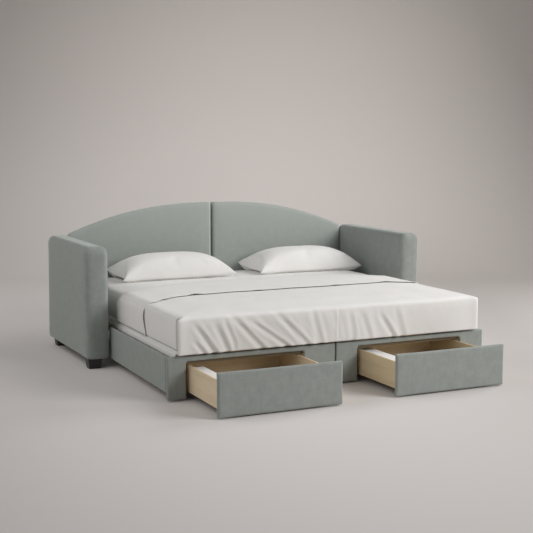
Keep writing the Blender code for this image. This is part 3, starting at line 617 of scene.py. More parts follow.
def stained_foot():
    """Dark stained block with a satin lacquer and open grain."""
    mat, tree, shader, place = blank_material("dark stained foot", Coat_Weight=0.15, Coat_Roughness=0.35)
    grain = speckle(tree, stretched(tree, place, (1, 1, 0.08)), 0.004, 4.0, 0.6)
    colour = tuple(bpy.context.scene.sofa_wood.foot)
    dark, light = (tuple(c * k for c in colour) for k in (0.6, 1.9))
    tree.links.new(ramp(tree, grain, (0.35, dark), (0.7, light)), shader.inputs["Base Color"])
    tree.links.new(ranged(tree, grain, 0.35, 0.55), shader.inputs["Roughness"])
    bumped(tree, shader, (grain, 0.3, 0.0005))
    return mat


def zinc_steel():
    """Zinc plated steel with rolling marks along the runner and a faint mottled bloom."""
    mat, tree, shader, place = blank_material("zinc plated steel", Metallic=1.0)
    marks = speckle(tree, stretched(tree, place, (1, 0.02, 1)), 0.0012, 2.0)
    bloom = speckle(tree, place, 0.012, 3.0)
    colour = tuple(bpy.context.scene.sofa_wood.steel)
    dull = tuple(c * 0.86 for c in colour)
    tree.links.new(ramp(tree, bloom, (0.3, dull), (0.7, colour)), shader.inputs["Base Color"])
    tree.links.new(ranged(tree, sum_of(tree, (marks, 0.5), (bloom, 0.5)), 0.26, 0.5), shader.inputs["Roughness"])
    bumped(tree, shader, (marks, 0.15, 0.0002))
    return mat


def moulded_nylon():
    """Grey-black nylon with the fine grain of its mould and a scuffed tread."""
    mat, tree, shader, place = blank_material("moulded nylon", Specular_IOR_Level=0.4)
    grain = speckle(tree, place, 0.0009, 2.0)
    scuffs = speckle(tree, stretched(tree, place, (1, 0.3, 1)), 0.008, 4.0, 0.65)
    black, scuffed = (0.035, 0.035, 0.038), (0.085, 0.083, 0.08)
    tree.links.new(ramp(tree, scuffs, (0.35, black), (0.72, scuffed)), shader.inputs["Base Color"])
    tree.links.new(ranged(tree, scuffs, 0.38, 0.62), shader.inputs["Roughness"])
    bumped(tree, shader, (grain, 0.3, 0.0002))
    return mat


# ---------------------------------------------------------------- the sofa


class SOFA_OT_arms(bpy.types.Operator):
    """Upholsters the two slab arms"""

    bl_idname = "sofa.arms"
    bl_label = "Arms"

    # Where the shaping of the padding starts and where it is full: heights, depth and distance from the middle.
    top_fade = (0.60, 0.74)
    hem_fade = (0.06, 0.20)
    rear_fade = (0.35, 1.10)
    outer_fade = (1.08, 1.18)

    def execute(self, context):
        choice = context.scene.sofa_upholstery
        for side in ("left", "right"):
            node_name = f"{side}_arm"
            arm = skin_of(f"{side}_arm_padded", node_name, choice.slab_voxel, 3)
            inflate(arm, FIRM, choice.slab_swell)
            # The left arm's padding stands further out towards the bed, the right one's away from it.
            low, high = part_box(node_name)
            high.x += choice.arm_padding if side == "left" else choice.arm_swell
            points = points_of(arm)
            start, end = points[:, 0].min(), points[:, 0].max()
            points[:, 0] = low.x + (points[:, 0] - start) * (high.x - low.x) / (end - start)
            top_share = eased(points[:, 2], *self.top_fade)
            hem_share = 1 - eased(points[:, 2], *self.hem_fade)
            points[:, 2] += choice.top_padding * top_share - choice.hem_drop * hem_share
            if side == "left":
                # Its outer face stands out a little towards the rear, most at the hem.
                rear_share = eased(points[:, 1], *self.rear_fade) * eased(-points[:, 0], *self.outer_fade)
                points[:, 0] -= (0.014 - 0.010 * points[:, 2]) * rear_share
            move_points(arm, points)
            smooth(arm)
            finish_piece(arm, SOFA, "upholstery", upholstery_cloth(), node_name)
        return {"FINISHED"}


class SOFA_OT_backs(bpy.types.Operator):
    """Upholsters the two halves of the arched back"""

    bl_idname = "sofa.backs"
    bl_label = "Arched back"

    arch_half = 1.12  # half the arch's width
    top_fade = (0.52, 0.72)  # heights between which the shaping sets in

    def execute(self, context):
        choice = context.scene.sofa_upholstery
        for side in ("left", "right"):
            node_name = f"{side}_back_panel"
            back = skin_of(f"{side}_back_padded", node_name, choice.slab_voxel, 3)
            inflate(back, FIRM, choice.slab_swell)
            # The padding fills the arch out between its peak and the arms.
            points = points_of(back)
            outwards = np.clip(np.abs(points[:, 0]) / self.arch_half, 0, 1)
            fuller = choice.top_padding + choice.arch_padding * np.sin(math.pi * outwards**1.2)
            points[:, 2] += fuller * eased(points[:, 2], *self.top_fade)
            move_points(back, points)
            smooth(back)
            finish_piece(back, SOFA, "upholstery", upholstery_cloth(), node_name)
        return {"FINISHED"}


class SOFA_OT_base_panels(bpy.types.Operator):
    """Upholsters the fascia's two halves and the two side panels of the base"""

    bl_idname = "sofa.base_panels"
    bl_label = "Base panels"

    def execute(self, context):
        choice = context.scene.sofa_upholstery
        for name in ("left_fascia", "right_fascia", "left_side_panel", "right_side_panel"):
            panel = skin_of(f"{name}_padded", name, choice.panel_voxel, 3)
            inflate(panel, FIRM, choice.panel_swell, 12)
            if name.endswith("fascia"):
                # The face stays flat, so that the drawers close against it.
                points = points_of(panel)
                points[:, 1] = np.maximum(points[:, 1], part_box(name)[0].y - FLAT_SLACK)
                move_points(panel, points)
            smooth(panel)
            finish_piece(panel, BASE, "upholstery", upholstery_cloth(), name)
        return {"FINISHED"}


class SOFA_OT_drawer_fronts(bpy.types.Operator):
    """Upholsters the two drawer fronts"""

    bl_idname = "sofa.drawer_fronts"
    bl_label = "Drawer fronts"

    def execute(self, context):
        choice = context.scene.sofa_upholstery
        for drawer in DRAWERS:
            node_name = f"{drawer}_front"
            front = skin_of(f"{drawer}_front_padded", node_name, choice.panel_voxel * 0.8, 3)
            inflate(front, FIRM / 2, choice.panel_swell, 12)
            # Its rear face stays flat too.
            points = points_of(front)
            points[:, 1] = np.minimum(points[:, 1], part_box(node_name)[1].y + FLAT_SLACK)
            move_points(front, points)
            smooth(front)
            finish_piece(front, drawer, "upholstery", upholstery_cloth(), node_name)
        return {"FINISHED"}


# ---------------------------------------------------------------- the bedding


class SOFA_OT_mattress(bpy.types.Operator):
    """Dresses both sections of the mattress in a fitted sheet"""

    bl_idname = "sofa.mattress"
    bl_label = "Mattress"

    mesh_size = 0.012
    swell = 0.004
    slat_slack = 0.0003  # how far its underside stays above its solid's

    def execute(self, context):
        cotton = washed_cotton("fitted sheet", tuple(context.scene.sofa_bedding.sheet_colour), 0.8)
        for name, body in (("rear_mattress", SOFA), ("front_mattress", BASE)):
            pad = skin_of(f"{name}_dressed", name, self.mesh_size, 10)
            inflate(pad, FIRM, self.swell)
            # Behind the covers the sheet's sides stand as far out as the covers do.
            points = points_of(pad)
            bare = eased(points[:, 1], 0.20, 0.27) * eased(np.abs(points[:, 0]), 0.80, 0.95)
            points[:, 0] += np.sign(points[:, 0]) * bare * (DUVET_HIGH.x - 0.004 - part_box(name)[1].x)
            # The sheet lies unevenly, more so where nothing covers it.
            sag = ripple(points, 0.14, 4) * 0.0025 + ripple(points, 0.05, 6) * 0.001
            points += normals_of(pad) * sag[:, None] * eased(points[:, 1], -0.7, 0.3)[:, None]
            # The slats slide close under the mattress.
            points[:, 2] = np.maximum(points[:, 2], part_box(name)[0].z + self.slat_slack)
            move_points(pad, points)
            smooth(pad)
            finish_piece(pad, body, "mattress", cotton, name)
            if body == BASE:
                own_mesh(pad)
        return {"FINISHED"}


class SOFA_OT_fitted_skirt(bpy.types.Operator):
    """Hangs the fitted sheet's loose edge beside the slats, down to the base"""

    bl_idname = "sofa.fitted_skirt"
    bl_label = "Fitted sheet's edge"

    thickness = 0.0012
    width = 0.084  # of the strip of cloth, from the mattress to its hem
    mesh_size = 0.010

    def execute(self, context):
        cotton = washed_cotton("fitted sheet", tuple(context.scene.sofa_bedding.sheet_colour), 0.8)
        # Distance out from the mattress's side and height, from where the edge leaves the mattress to its hem.
        # There is a crease halfway.
        profile = (
            (0.004, 0.292), (0.010, 0.284), (0.0165, 0.276), (0.0225, 0.269), (0.0245, 0.2655), (0.0235, 0.2635),
            (0.0265, 0.260), (0.030, 0.254), (0.0325, 0.247), (0.034, 0.238), (0.0345, 0.2262)
        )
        for name, body in (("rear_mattress", SOFA), ("front_mattress", BASE)):
            low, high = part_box(name)
            start, end = (low.y - 0.0008, high.y - 0.004) if body == SOFA else (DUVET_LOW.y + 0.020, high.y + 0.016)
            for side, edge in (("left", low.x), ("right", high.x)):
                out = math.copysign(1, edge)
                steps = round((end - start) / self.mesh_size)
                points, faces = [], []
                for i in range(steps + 1):
                    y = start + (end - start) * i / steps
                    # At the front the edge turns in behind the duvet's flap.
                    # At the joint the rear piece lies under the front one.
                    turned = 1 - float(eased(y, start, start + 0.035)) if body == BASE else 0.0
                    under = 0.0032 * (1 - float(eased(y, start + 0.018, start + 0.05))) if body == SOFA else 0.0
                    for k, (away, z) in enumerate(profile):
                        loose = k / (len(profile) - 1)
                        pleat = 0.0024 * noise.noise(Vector((edge * 3, y / 0.07, loose * 0.4)))
                        pleat += 0.0014 * noise.noise(Vector((edge * 3 + 5, y / 0.025, loose * 0.5)))
                        reach = away + pleat * loose - under - 0.05 * turned**2
                        points.append((edge + out * reach, y, z + 0.06 * loose * turned))
                rows = len(profile)
                for i in range(steps):
                    for k in range(rows - 1):
                        a = i * rows + k
                        quad = (a, a + rows, a + rows + 1, a + 1)
                        faces.append(quad if out < 0 else quad[::-1])
                skirt = mesh_object(f"{name.split('_')[0]}_{side}_sheet_edge", points, faces)
                thicken(skirt, self.thickness)
                smooth(skirt)
                finish_piece(skirt, body, "mattress", cotton)
                if body == BASE:
                    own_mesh(skirt)
        return {"FINISHED"}


# Folds of the duvet's front: x and z where each starts near the top, x and z where it ends near the hem, its
# width and its share of the full depth.
FRONT_FOLDS = (
    (-0.867, 0.397, -0.770, 0.259, 0.022, 0.9),
    (-0.881, 0.318, -0.835, 0.265, 0.018, 0.5),
    (-0.749, 0.388, -0.690, 0.259, 0.022, 0.7),
    (-0.702, 0.422, -0.663, 0.332, 0.016, 0.35),
    (-0.635, 0.423, -0.500, 0.281, 0.024, 0.6),
    (-0.527, 0.403, -0.340, 0.267, 0.026, 0.6),
    (-0.361, 0.422, -0.205, 0.269, 0.026, 0.55),
    (-0.156, 0.427, -0.118, 0.288, 0.022, 0.45),
    (0.085, 0.410, 0.101, 0.330, 0.018, 0.3),
    (0.174, 0.390, 0.209, 0.286, 0.020, 0.35),
    (0.305, 0.373, 0.373, 0.266, 0.022, 0.7),
    (0.396, 0.402, 0.440, 0.262, 0.024, 0.45),
)
DUVET_SEAM_X = -0.004
REAR_BOW = 0.170  # how much further the covers reach back in the middle of the bed than at its sides

# The turned-down sheet's front hem: distance across the bed along the cloth, and y.
SHEET_HEM = (
    (-1.17, -0.275), (-1.145, -0.240), (-1.10, -0.210), (-1.03, -0.198), (-0.985, -0.222), (-0.93, -0.236),
    (-0.83, -0.169), (-0.644, -0.121), (-0.323, -0.103), (0.088, -0.114), (0.5, -0.110), (0.93, -0.118),
    (0.99, -0.150), (1.12, -0.170)
)
# Small lifts of that hem: distance across and height.
SHEET_LIFTS = ((-1.05, 0.003), (-0.86, 0.004), (-0.63, 0.007), (-0.2, 0.002), (0.35, 0.003), (0.72, 0.003))


def rear_edge(across):
    """y of the covers' rear edge at a distance across the bed."""
    side = SHEET_REAR - REAR_BOW
    return side + (SHEET_REAR - side) * (1 - eased(np.abs(across), 0.35, 1.02))


def cover_wave(points):
    """The soft unevenness that the duvet and the sheet on it share."""
    return ripple(points, 0.30, 2) * 0.004 + ripple(points, 0.11, 5) * 0.0014


def crowned(x, y, crown):
    """How far the covers' top lies below its middle height at x, y."""
    inboard = np.minimum(DUVET_HIGH.x - np.abs(x), y - DUVET_LOW.y)
    return crown * (1 - eased(inboard, 0.03, 0.26))


def front_fold(x, z, top, depth):
    """How far the duvet's front stands out from its plane."""
    out = np.zeros_like(x)
    for x0, z0, x1, z1, width, share in FRONT_FOLDS:
        along = (z0 - z) / (z0 - z1)
        centre = x0 + (x1 - x0) * np.clip(along, -0.5, 1.3)
        strength = eased(along, -0.45, 0.25) * share * depth
        off = (x - centre) / (0.95 * width)
        crests = 0.8 * np.exp(-(((off - 1.4) / 0.8) ** 2)), 0.45 * np.exp(-(((off + 1.5) / 1.1) ** 2))
        out += strength * (crests[0] - np.exp(-(off**2)) + crests[1])
    # Fine gathers between them, which lean the same way and fade to the right.
    lean = np.interp(x, (-0.9, -0.3, 0.1, 0.5), (0.55, 0.85, 0.25, 0.35))
    gathers = ripple(np.column_stack(((x - lean * (top - z)) / 0.042, z / 0.30, np.zeros_like(x))), 1.0, 3)
    return out + gathers * 0.30 * depth * eased(top - z, 0.0, 0.05) * (1 - eased(x, 0.1, 0.7))


class SOFA_OT_duvet(bpy.types.Operator):
    """Lays the duvet over the bed, with its front flap in folds"""

    bl_idname = "sofa.duvet"
    bl_label = "Duvet"

    def execute(self, context):
        choice = context.scene.sofa_bedding
        turn, top = choice.edge_radius, DUVET_HIGH.z + COVER_RISE
        half, front = DUVET_HIGH.x - turn, DUVET_LOW.y + turn
        # Columns lie closest where the front hangs in folds.
        xs = np.concatenate((
            np.linspace(-half, 0.02, 171), np.linspace(0.02, 0.5, 61)[1:], np.linspace(0.5, half, 26)[1:]
        ))
        across, along = len(xs) - 1, 96
        points = []
        for j in range(along + 1):
            share = j / along
            for x in xs:
                rear = float(rear_edge(x))
                y = rear + (front - rear) * share
                points.append((x, y, top - float(crowned(x, y, choice.crown))))
        top -= choice.crown

        def grid(i, j):
            return j * (across + 1) + i

        # Columns of the hanging skirt: base vertex, plain direction, folded corner place and hem height.
        # The front flap's edge stands proud of the side; the last number is the shade behind it.
        tuck = (
            (0.000, 0.051, 0, 0.04), (0.000, 0.043, 0, 0.14), (0.001, 0.035, 0, 0.34), (0.002, 0.027, 0, 0.65),
            (0.004, 0.020, 0, 0.9), (0.006, 0.014, 0.3, 1.0),
            (0.003, 0.010, 0.9, 0.8), (-0.003, 0.007, 1, 0.25), (-0.005, 0.003, 1, 0.0), (-0.003, -0.002, 1, 0.0),
            (0.004, -0.006, 1, 0.0), (0.015, -0.006, 1, 0.0), (0.030, -0.003, 1, 0.0),
        )
        hem, side_hem = DUVET_LOW.z, choice.side_hem
        columns = [(grid(0, j), (-1, 0), (-turn, 0), side_hem, 0, 0) for j in range(along + 1)]
        corner = []
        for m, (inward, back, low, dark) in enumerate(tuck, 1):
            angle = math.pi + math.pi / 2 * m / (len(tuck) + 1)
            plain, folded = (math.cos(angle), math.sin(angle)), (-(turn - inward), -(turn - back))
            corner.append((plain, folded, side_hem + (hem - side_hem) * low, dark))
        columns += [(grid(0, along), *part, 0) for part in corner]
        columns += [(grid(i, along), (0, -1), (0, -turn), hem, 0, 1) for i in range(across + 1)]
        for plain, folded, low, dark in reversed(corner):
            columns.append((grid(across, along), (-plain[0], plain[1]), (-folded[0], folded[1]), low, dark, 0))
        columns += [(grid(across, j), (1, 0), (turn, 0), side_hem, 0, 0) for j in range(along, -1, -1)]

        arc, hang = 6, 20
        levels = [(math.sin(a), 1 - math.cos(a), 0.0) for a in np.linspace(0, math.pi / 2, arc + 1)[1:]]
        levels += [(1.0, 1.0, k / hang) for k in range(1, hang + 1)]
        cells = [(i, j) for j in range(along) for i in range(across)]
        faces = [(grid(i, j), grid(i, j + 1), grid(i + 1, j + 1), grid(i + 1, j)) for i, j in cells]
        above = [column[0] for column in columns]
        flap_points, shades = [], [0.0] * len(points)
        for out, drop, share in levels:
            row = []
            for base, plain, folded, low, dark, is_front in columns:
                bx, by = points[base][:2]
                z = top - turn * drop - share * (top - turn - low)
                crisp = float(eased(top - z, -0.004, 0.020))
                x = bx + out * turn * plain[0] * (1 - crisp) + folded[0] * crisp
                y = by + out * turn * plain[1] * (1 - crisp) + folded[1] * crisp
                row.append(len(points))
                points.append((x, y, z))
                shades.append(dark * crisp)
                if is_front or folded[1] < -turn + 0.004:
                    flap_points.append(row[-1])
            for c in range(len(columns) - 1):
                a, b = above[c], above[c + 1]
                if a == b:
                    faces.append((a, row[c], row[c + 1]))
                else:
                    faces.append((a, row[c], row[c + 1], b))
            above = row
        points = np.array(points)
        # Folds of the front flap, fading towards its upper edge and its ends.
        flap = np.array(flap_points)
        x, z = points[flap, 0], points[flap, 2]
        ends = eased(half + turn - np.abs(x), 0.02, 0.10)
        out = front_fold(x, z, top, choice.fold_depth) * ends
        ridge = np.exp(-(((x - DUVET_SEAM_X) / 0.005) ** 2))
        groove = np.exp(-(((x - DUVET_SEAM_X - 0.012) / 0.006) ** 2))
        out += (ridge - 0.6 * groove) * 0.0022 * eased(top - z, 0.0, 0.03)
        points[flap, 1] -= out
        shades = np.array(shades)
        # Painted shade: the front flap a little darker below its top edge, and darker still in the valleys of its
        # folds.
        valleys = np.clip(-out / choice.fold_depth - 0.1, 0, 1)
        shades[flap] = np.maximum(shades[flap], 0.08 * eased(top - z, 0.02, 0.08) + 0.12 * valleys)
        # Soft unevenness of the whole cover.
        points[:, 2] += cover_wave(points) * eased(points[:, 2], hem, DUVET_HIGH.z - choice.crown)
        sides = np.abs(points[:, 0]) > half + turn * 0.9
        points[sides, 0] += np.sign(points[sides, 0]) * ripple(points[sides], 0.16, 9) * 0.003
        duvet = mesh_object("duvet_cover", points, faces)
        paint_shade(duvet, shades)
        thicken(duvet, choice.duvet_thickness)
        smooth(duvet)
        finish_piece(duvet, SOFA, "duvet", washed_cotton("duvet cotton", tuple(choice.duvet_colour), 0.7), "duvet")
        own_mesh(duvet)
        return {"FINISHED"}


class SOFA_OT_top_sheet(bpy.types.Operator):
    """Turns the top sheet down over the duvet"""

    bl_idname = "sofa.top_sheet"
    bl_label = "Turned-down sheet"

    side_reach = 0.085  # how much further back its sides reach, behind the arms

    def execute(self, context):
        choice = context.scene.sofa_bedding
        turn = choice.edge_radius + choice.sheet_gap
        rise_over = choice.sheet_gap + choice.sheet_thickness
        top = DUVET_HIGH.z + COVER_RISE + rise_over - choice.crown
        edge = DUVET_HIGH.x + rise_over
        flat_half = edge - turn
        reach = flat_half + turn * math.pi / 2 + top - turn - choice.side_hem
        across, along = 300, 40
        hem_t, hem_y = np.array(SHEET_HEM).T
        fine = np.linspace(-reach, reach, 400)
        hem = np.interp(fine, hem_t, hem_y)
        kernel = np.hanning(25)
        hem = np.convolve(np.pad(hem, 12, mode="edge"), kernel / kernel.sum(), "valid")
        points = []
        for t in np.linspace(-reach, reach, across + 1):
            far = abs(t) - flat_half
            side = math.copysign(1, t)
            if far <= 0:
                x, z, lean = t, top, 0.0
            elif far <= turn * math.pi / 2:
                lean = far / turn
                x, z = side * (flat_half + turn * math.sin(lean)), top - turn * (1 - math.cos(lean))
            else:
                x, z, lean = side * edge, top - turn - (far - turn * math.pi / 2), math.pi / 2
            start = float(rear_edge(t)) + self.side_reach * float(eased(abs(t), 0.97, 1.05))
            stop = float(np.interp(t, fine, hem))
            lift = 0.002 + sum(high * math.exp(-(((t - at) / 0.035) ** 2)) for at, high in SHEET_LIFTS)
            for j in range(along + 1):
                y = start + (stop - start) * j / along
                rise = lift * float(eased(stop + 0.03 - y, 0, 0.03))
                crest = choice.crown - float(crowned(x, y, choice.crown)) if lean == 0 else 0.0
                points.append((x + side * rise * math.sin(lean), y, z + crest + rise * math.cos(lean)))
        points = np.array(points)
        points[:, 2] += cover_wave(points) * eased(points[:, 2], DUVET_LOW.z, DUVET_HIGH.z - choice.crown)
        band = mesh_object("turned_down_sheet", points, net_of(across + 1, along + 1))
        thicken(band, choice.sheet_thickness)
        smooth(band)
        cotton = washed_cotton("top sheet cotton", tuple(choice.sheet_colour), 0.9)
        finish_piece(band, SOFA, "sheet", cotton, "top_sheet")
        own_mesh(band)
        return {"FINISHED"}


class SOFA_OT_pillows(bpy.types.Operator):
    """Fills the two pillows and lays them at the back of the bed"""

    bl_idname = "sofa.pillows"
    bl_label = "Pillows"

    swell = 0.016  # how far the filling may push the sewn case out

    def execute(self, context):
        choice = context.scene.sofa_bedding
        cotton = washed_cotton("pillowcase cotton", tuple(choice.pillow_colour), 0.8)
        low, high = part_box("left_pillow")
        size, middle = high - low, (high + low) / 2
        across, along = 84, 46
        points, faces = [], []

        def case_point(u, v, side):
            # The sides pull in between the corners. The far corners' seams stand up, the near ones lie low.
            ear, far = abs(u * v) ** 3, (1 + v) / 2
            x = size.x / 2 * u * (1 - 0.045 * (1 - v * v) * u**4 + 0.015 * ear)
            y = size.y / 2 * v * (1 - 0.075 * (1 - abs(u) ** 3) * v**4 + 0.02 * ear)
            seam = size.z * (0.13 * (1 - ear) + ear * (0.36 * far + (0.12 + 0.06 * u) * (1 - far)))
            if side > 0:
                full = (1 - abs(u) ** 3.2) ** 0.66 * (1 - abs(v) ** 2.4) ** 0.60
                return x, y, seam + (size.z - seam) * full if full > 0 else seam
            return x, y, seam * max(abs(u) ** 6, abs(v) ** 4)

        index = {}
        for side in (1, -1):
            for i in range(across + 1):
                for j in range(along + 1):
                    rim = i in (0, across) or j in (0, along)
                    if side < 0 and rim:
                        index[side, i, j] = index[1, i, j]
                        continue
                    u, v = math.sin((i / across - 0.5) * math.pi * 0.96) / math.sin(math.pi * 0.48), 2 * j / along - 1
                    index[side, i, j] = len(points)
                    points.append(case_point(u, v, side))
            for i in range(across):
                for j in range(along):
                    quad = [
                        index[side, i, j], index[side, i + 1, j], index[side, i + 1, j + 1], index[side, i, j + 1]
                    ]
                    faces.append(quad if side > 0 else quad[::-1])
        case = mesh_object("left_pillow_filled", np.array(points), faces)
        inflate(case, choice.pillow_fullness, self.swell, 24, grown=choice.pillow_spare)
        ease = case.modifiers.new("ease", "SMOOTH")
        ease.factor, ease.iterations = 0.5, 2
        apply_modifiers(case)
        placed = points_of(case)
        placed[:, 2] = np.maximum(placed[:, 2], 0)
        placed[:, 2] *= (size.z + choice.pillow_rise) / placed[:, 2].max()
        placed[:, :2] *= (np.array((size.x, size.y)) / 2 + choice.ear_reach) / np.abs(placed[:, :2]).max(axis=0)
        move_points(case, placed + np.array((middle.x, middle.y, low.z)))
        fine = case.modifiers.new("fine", "SUBSURF")
        fine.levels = fine.render_levels = 1
        apply_modifiers(case)
        smooth(case)
        other = twin_of(case, "right_pillow_filled")
        right_low, right_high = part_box("right_pillow")
        shifted = points_of(other)
        shifted[:, 0] += (right_low.x + right_high.x) / 2 - middle.x
        shifted[:, 2] += ripple(shifted, 0.09, 8) * 0.002 * eased(shifted[:, 2], low.z, low.z + 0.05)
        move_points(other, shifted)
        for pillow, name in ((case, "left_pillow"), (other, "right_pillow")):
            finish_piece(pillow, SOFA, "pillow", cotton, name)
        return {"FINISHED"}


# Folded linen in the drawers: x from and to, and the y of its far end.
LINEN = {"left_drawer": (-0.893, -0.808, -0.702), "right_drawer": (0.182, 0.305, -0.620)}


class SOFA_OT_drawer_linen(bpy.types.Operator):
    """Lays folded linen beside the left side of each drawer"""

    bl_idname = "sofa.drawer_linen"
    bl_label = "Linen in the drawers"

    pitch = 0.0072  # height of one layer
    thickness = 0.0042
    turns = 4  # of the cloth in each piece
    pile = 3  # pieces on top of each other
    mesh_size = 0.016

    def execute(self, context):
        cotton = washed_cotton("folded linen", tuple(context.scene.sofa_bedding.sheet_colour), 1.0)
        pitch, turns = self.pitch, self.turns
        for drawer in DRAWERS:
            left, right, far = LINEN[drawer]
            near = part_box(f"{drawer}_left_side")[0].y + 0.004
            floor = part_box(f"{drawer}_floor")[1].z
            # The section of one folded piece: the cloth runs to and fro, and each turn ends at its own place.
            section = []
            for layer in range(turns + 1):
                rightward = layer % 2 == 0
                z = 0.0030 + layer * pitch
                ends = (left + 0.005 + 0.003 * (layer % 3 == 1), right - 0.005 - 0.004 * (layer % 4 == 1))
                run = np.linspace(*(ends if rightward else ends[::-1]), 9)
                section += [(x, z) for x in run]
                if layer < turns:
                    way = 1 if rightward else -1
                    half = pitch / 2
                    bend = np.linspace(0, math.pi, 6)[1:-1]
                    section += [(run[-1] + way * half * math.sin(a), z + half * (1 - math.cos(a))) for a in bend]
            section = np.array(section)
            steps = round((far - near) / self.mesh_size)
            points = np.array([(x, near + (far - near) * i / steps, z) for i in range(steps + 1) for x, z in section])
            faces = net_of(steps + 1, len(section))
            first = None
            for level in range(self.pile):
                name = f"{drawer}_linen_{level + 1}"
                if first is None:
                    piece = first = mesh_object(name, points, faces)
                    thicken(piece, self.thickness, 0)
                    flat = points_of(piece)
                else:
                    piece = twin_of(first, name)
                laid = flat.copy()
                laid[:, 0] = np.clip(laid[:, 0] + (0.0, -0.004, 0.002)[level], left, None)
                laid[:, 1] -= (0.0, 0.006, 0.002)[level] * eased(laid[:, 1], near, far)
                sag = ripple(laid * (1, 1, 0), 0.10, 20 + level) * 0.0016
                laid[:, 2] += floor + 0.001 + level * (turns + 1) * pitch * 1.03 + sag
                move_points(piece, laid)
                smooth(piece)
                finish_piece(piece, drawer, None, cotton)
        return {"FINISHED"}


# ---------------------------------------------------------------- what keeps its CAD shape


class SOFA_OT_hard_pieces(bpy.types.Operator):
    """Finishes the wooden, steel and nylon pieces that keep their CAD shape"""

    bl_idname = "sofa.hard_pieces"
    bl_label = "Wood, steel and nylon"

    def execute(self, context):
        choice = context.scene.sofa_wood
        birch, pine = tuple(choice.birch), tuple(choice.pine)
        foot, steel, nylon = stained_foot(), zinc_steel(), moulded_nylon()
        # The right drawer's sides get a darker copy of the birch: painted shade.
        darker = (birch[0] * 0.76, birch[1] * 0.76, birch[2] * 0.71)
        right_sides = ("right_drawer_left_side", "right_drawer_right_side")
        finishes = (
            (right_sides, lambda: wood("birch ply in painted shade", darker, "y", True, "x")),
            (("_left_side", "_right_side"), lambda: wood("birch ply, grain front to back", birch, "y", True, "x")),
            (("_drawer_back",), lambda: wood("birch ply, grain across", birch, "x", True, "y")),
            (("_drawer_floor",), lambda: wood("birch ply floor", tuple(c * 0.9 for c in birch), "x", True)),
            (("_partition",), lambda: wood("birch ply upright", birch, "y", False, "x")),
            (("fixed_slat", "sliding_slat"), lambda: wood("pine slat", pine, "y", False)),
            # The front cross rail takes the brown of the shaded drawer insides behind it: painted shade.
            (("front_cross_rail",), lambda: wood("brown rail in painted shade", (0.20, 0.15, 0.095), "x", False)),
            (("_rail",), lambda: wood("pine rail", tuple(c * 0.95 for c in pine), "x", False)),
            (("_foot",), lambda: foot),
            (("_track", "_slider"), lambda: steel),
            (("_wheel",), lambda: nylon),
        )
        replaced = {"left_arm", "right_arm", "duvet", "top_sheet"}
        for name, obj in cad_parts.items():
            if name in replaced or name.endswith(("_panel", "_fascia", "_front", "_mattress", "_pillow")):
                continue
            for words, finish in finishes:
                if any(word in name for word in words):
                    for slot in obj.material_slots:
                        slot.material = finish()
                    break
            else:
                raise RuntimeError(f"{name} has no finish")
        return {"FINISHED"}


# ---------------------------------------------------------------- the stage


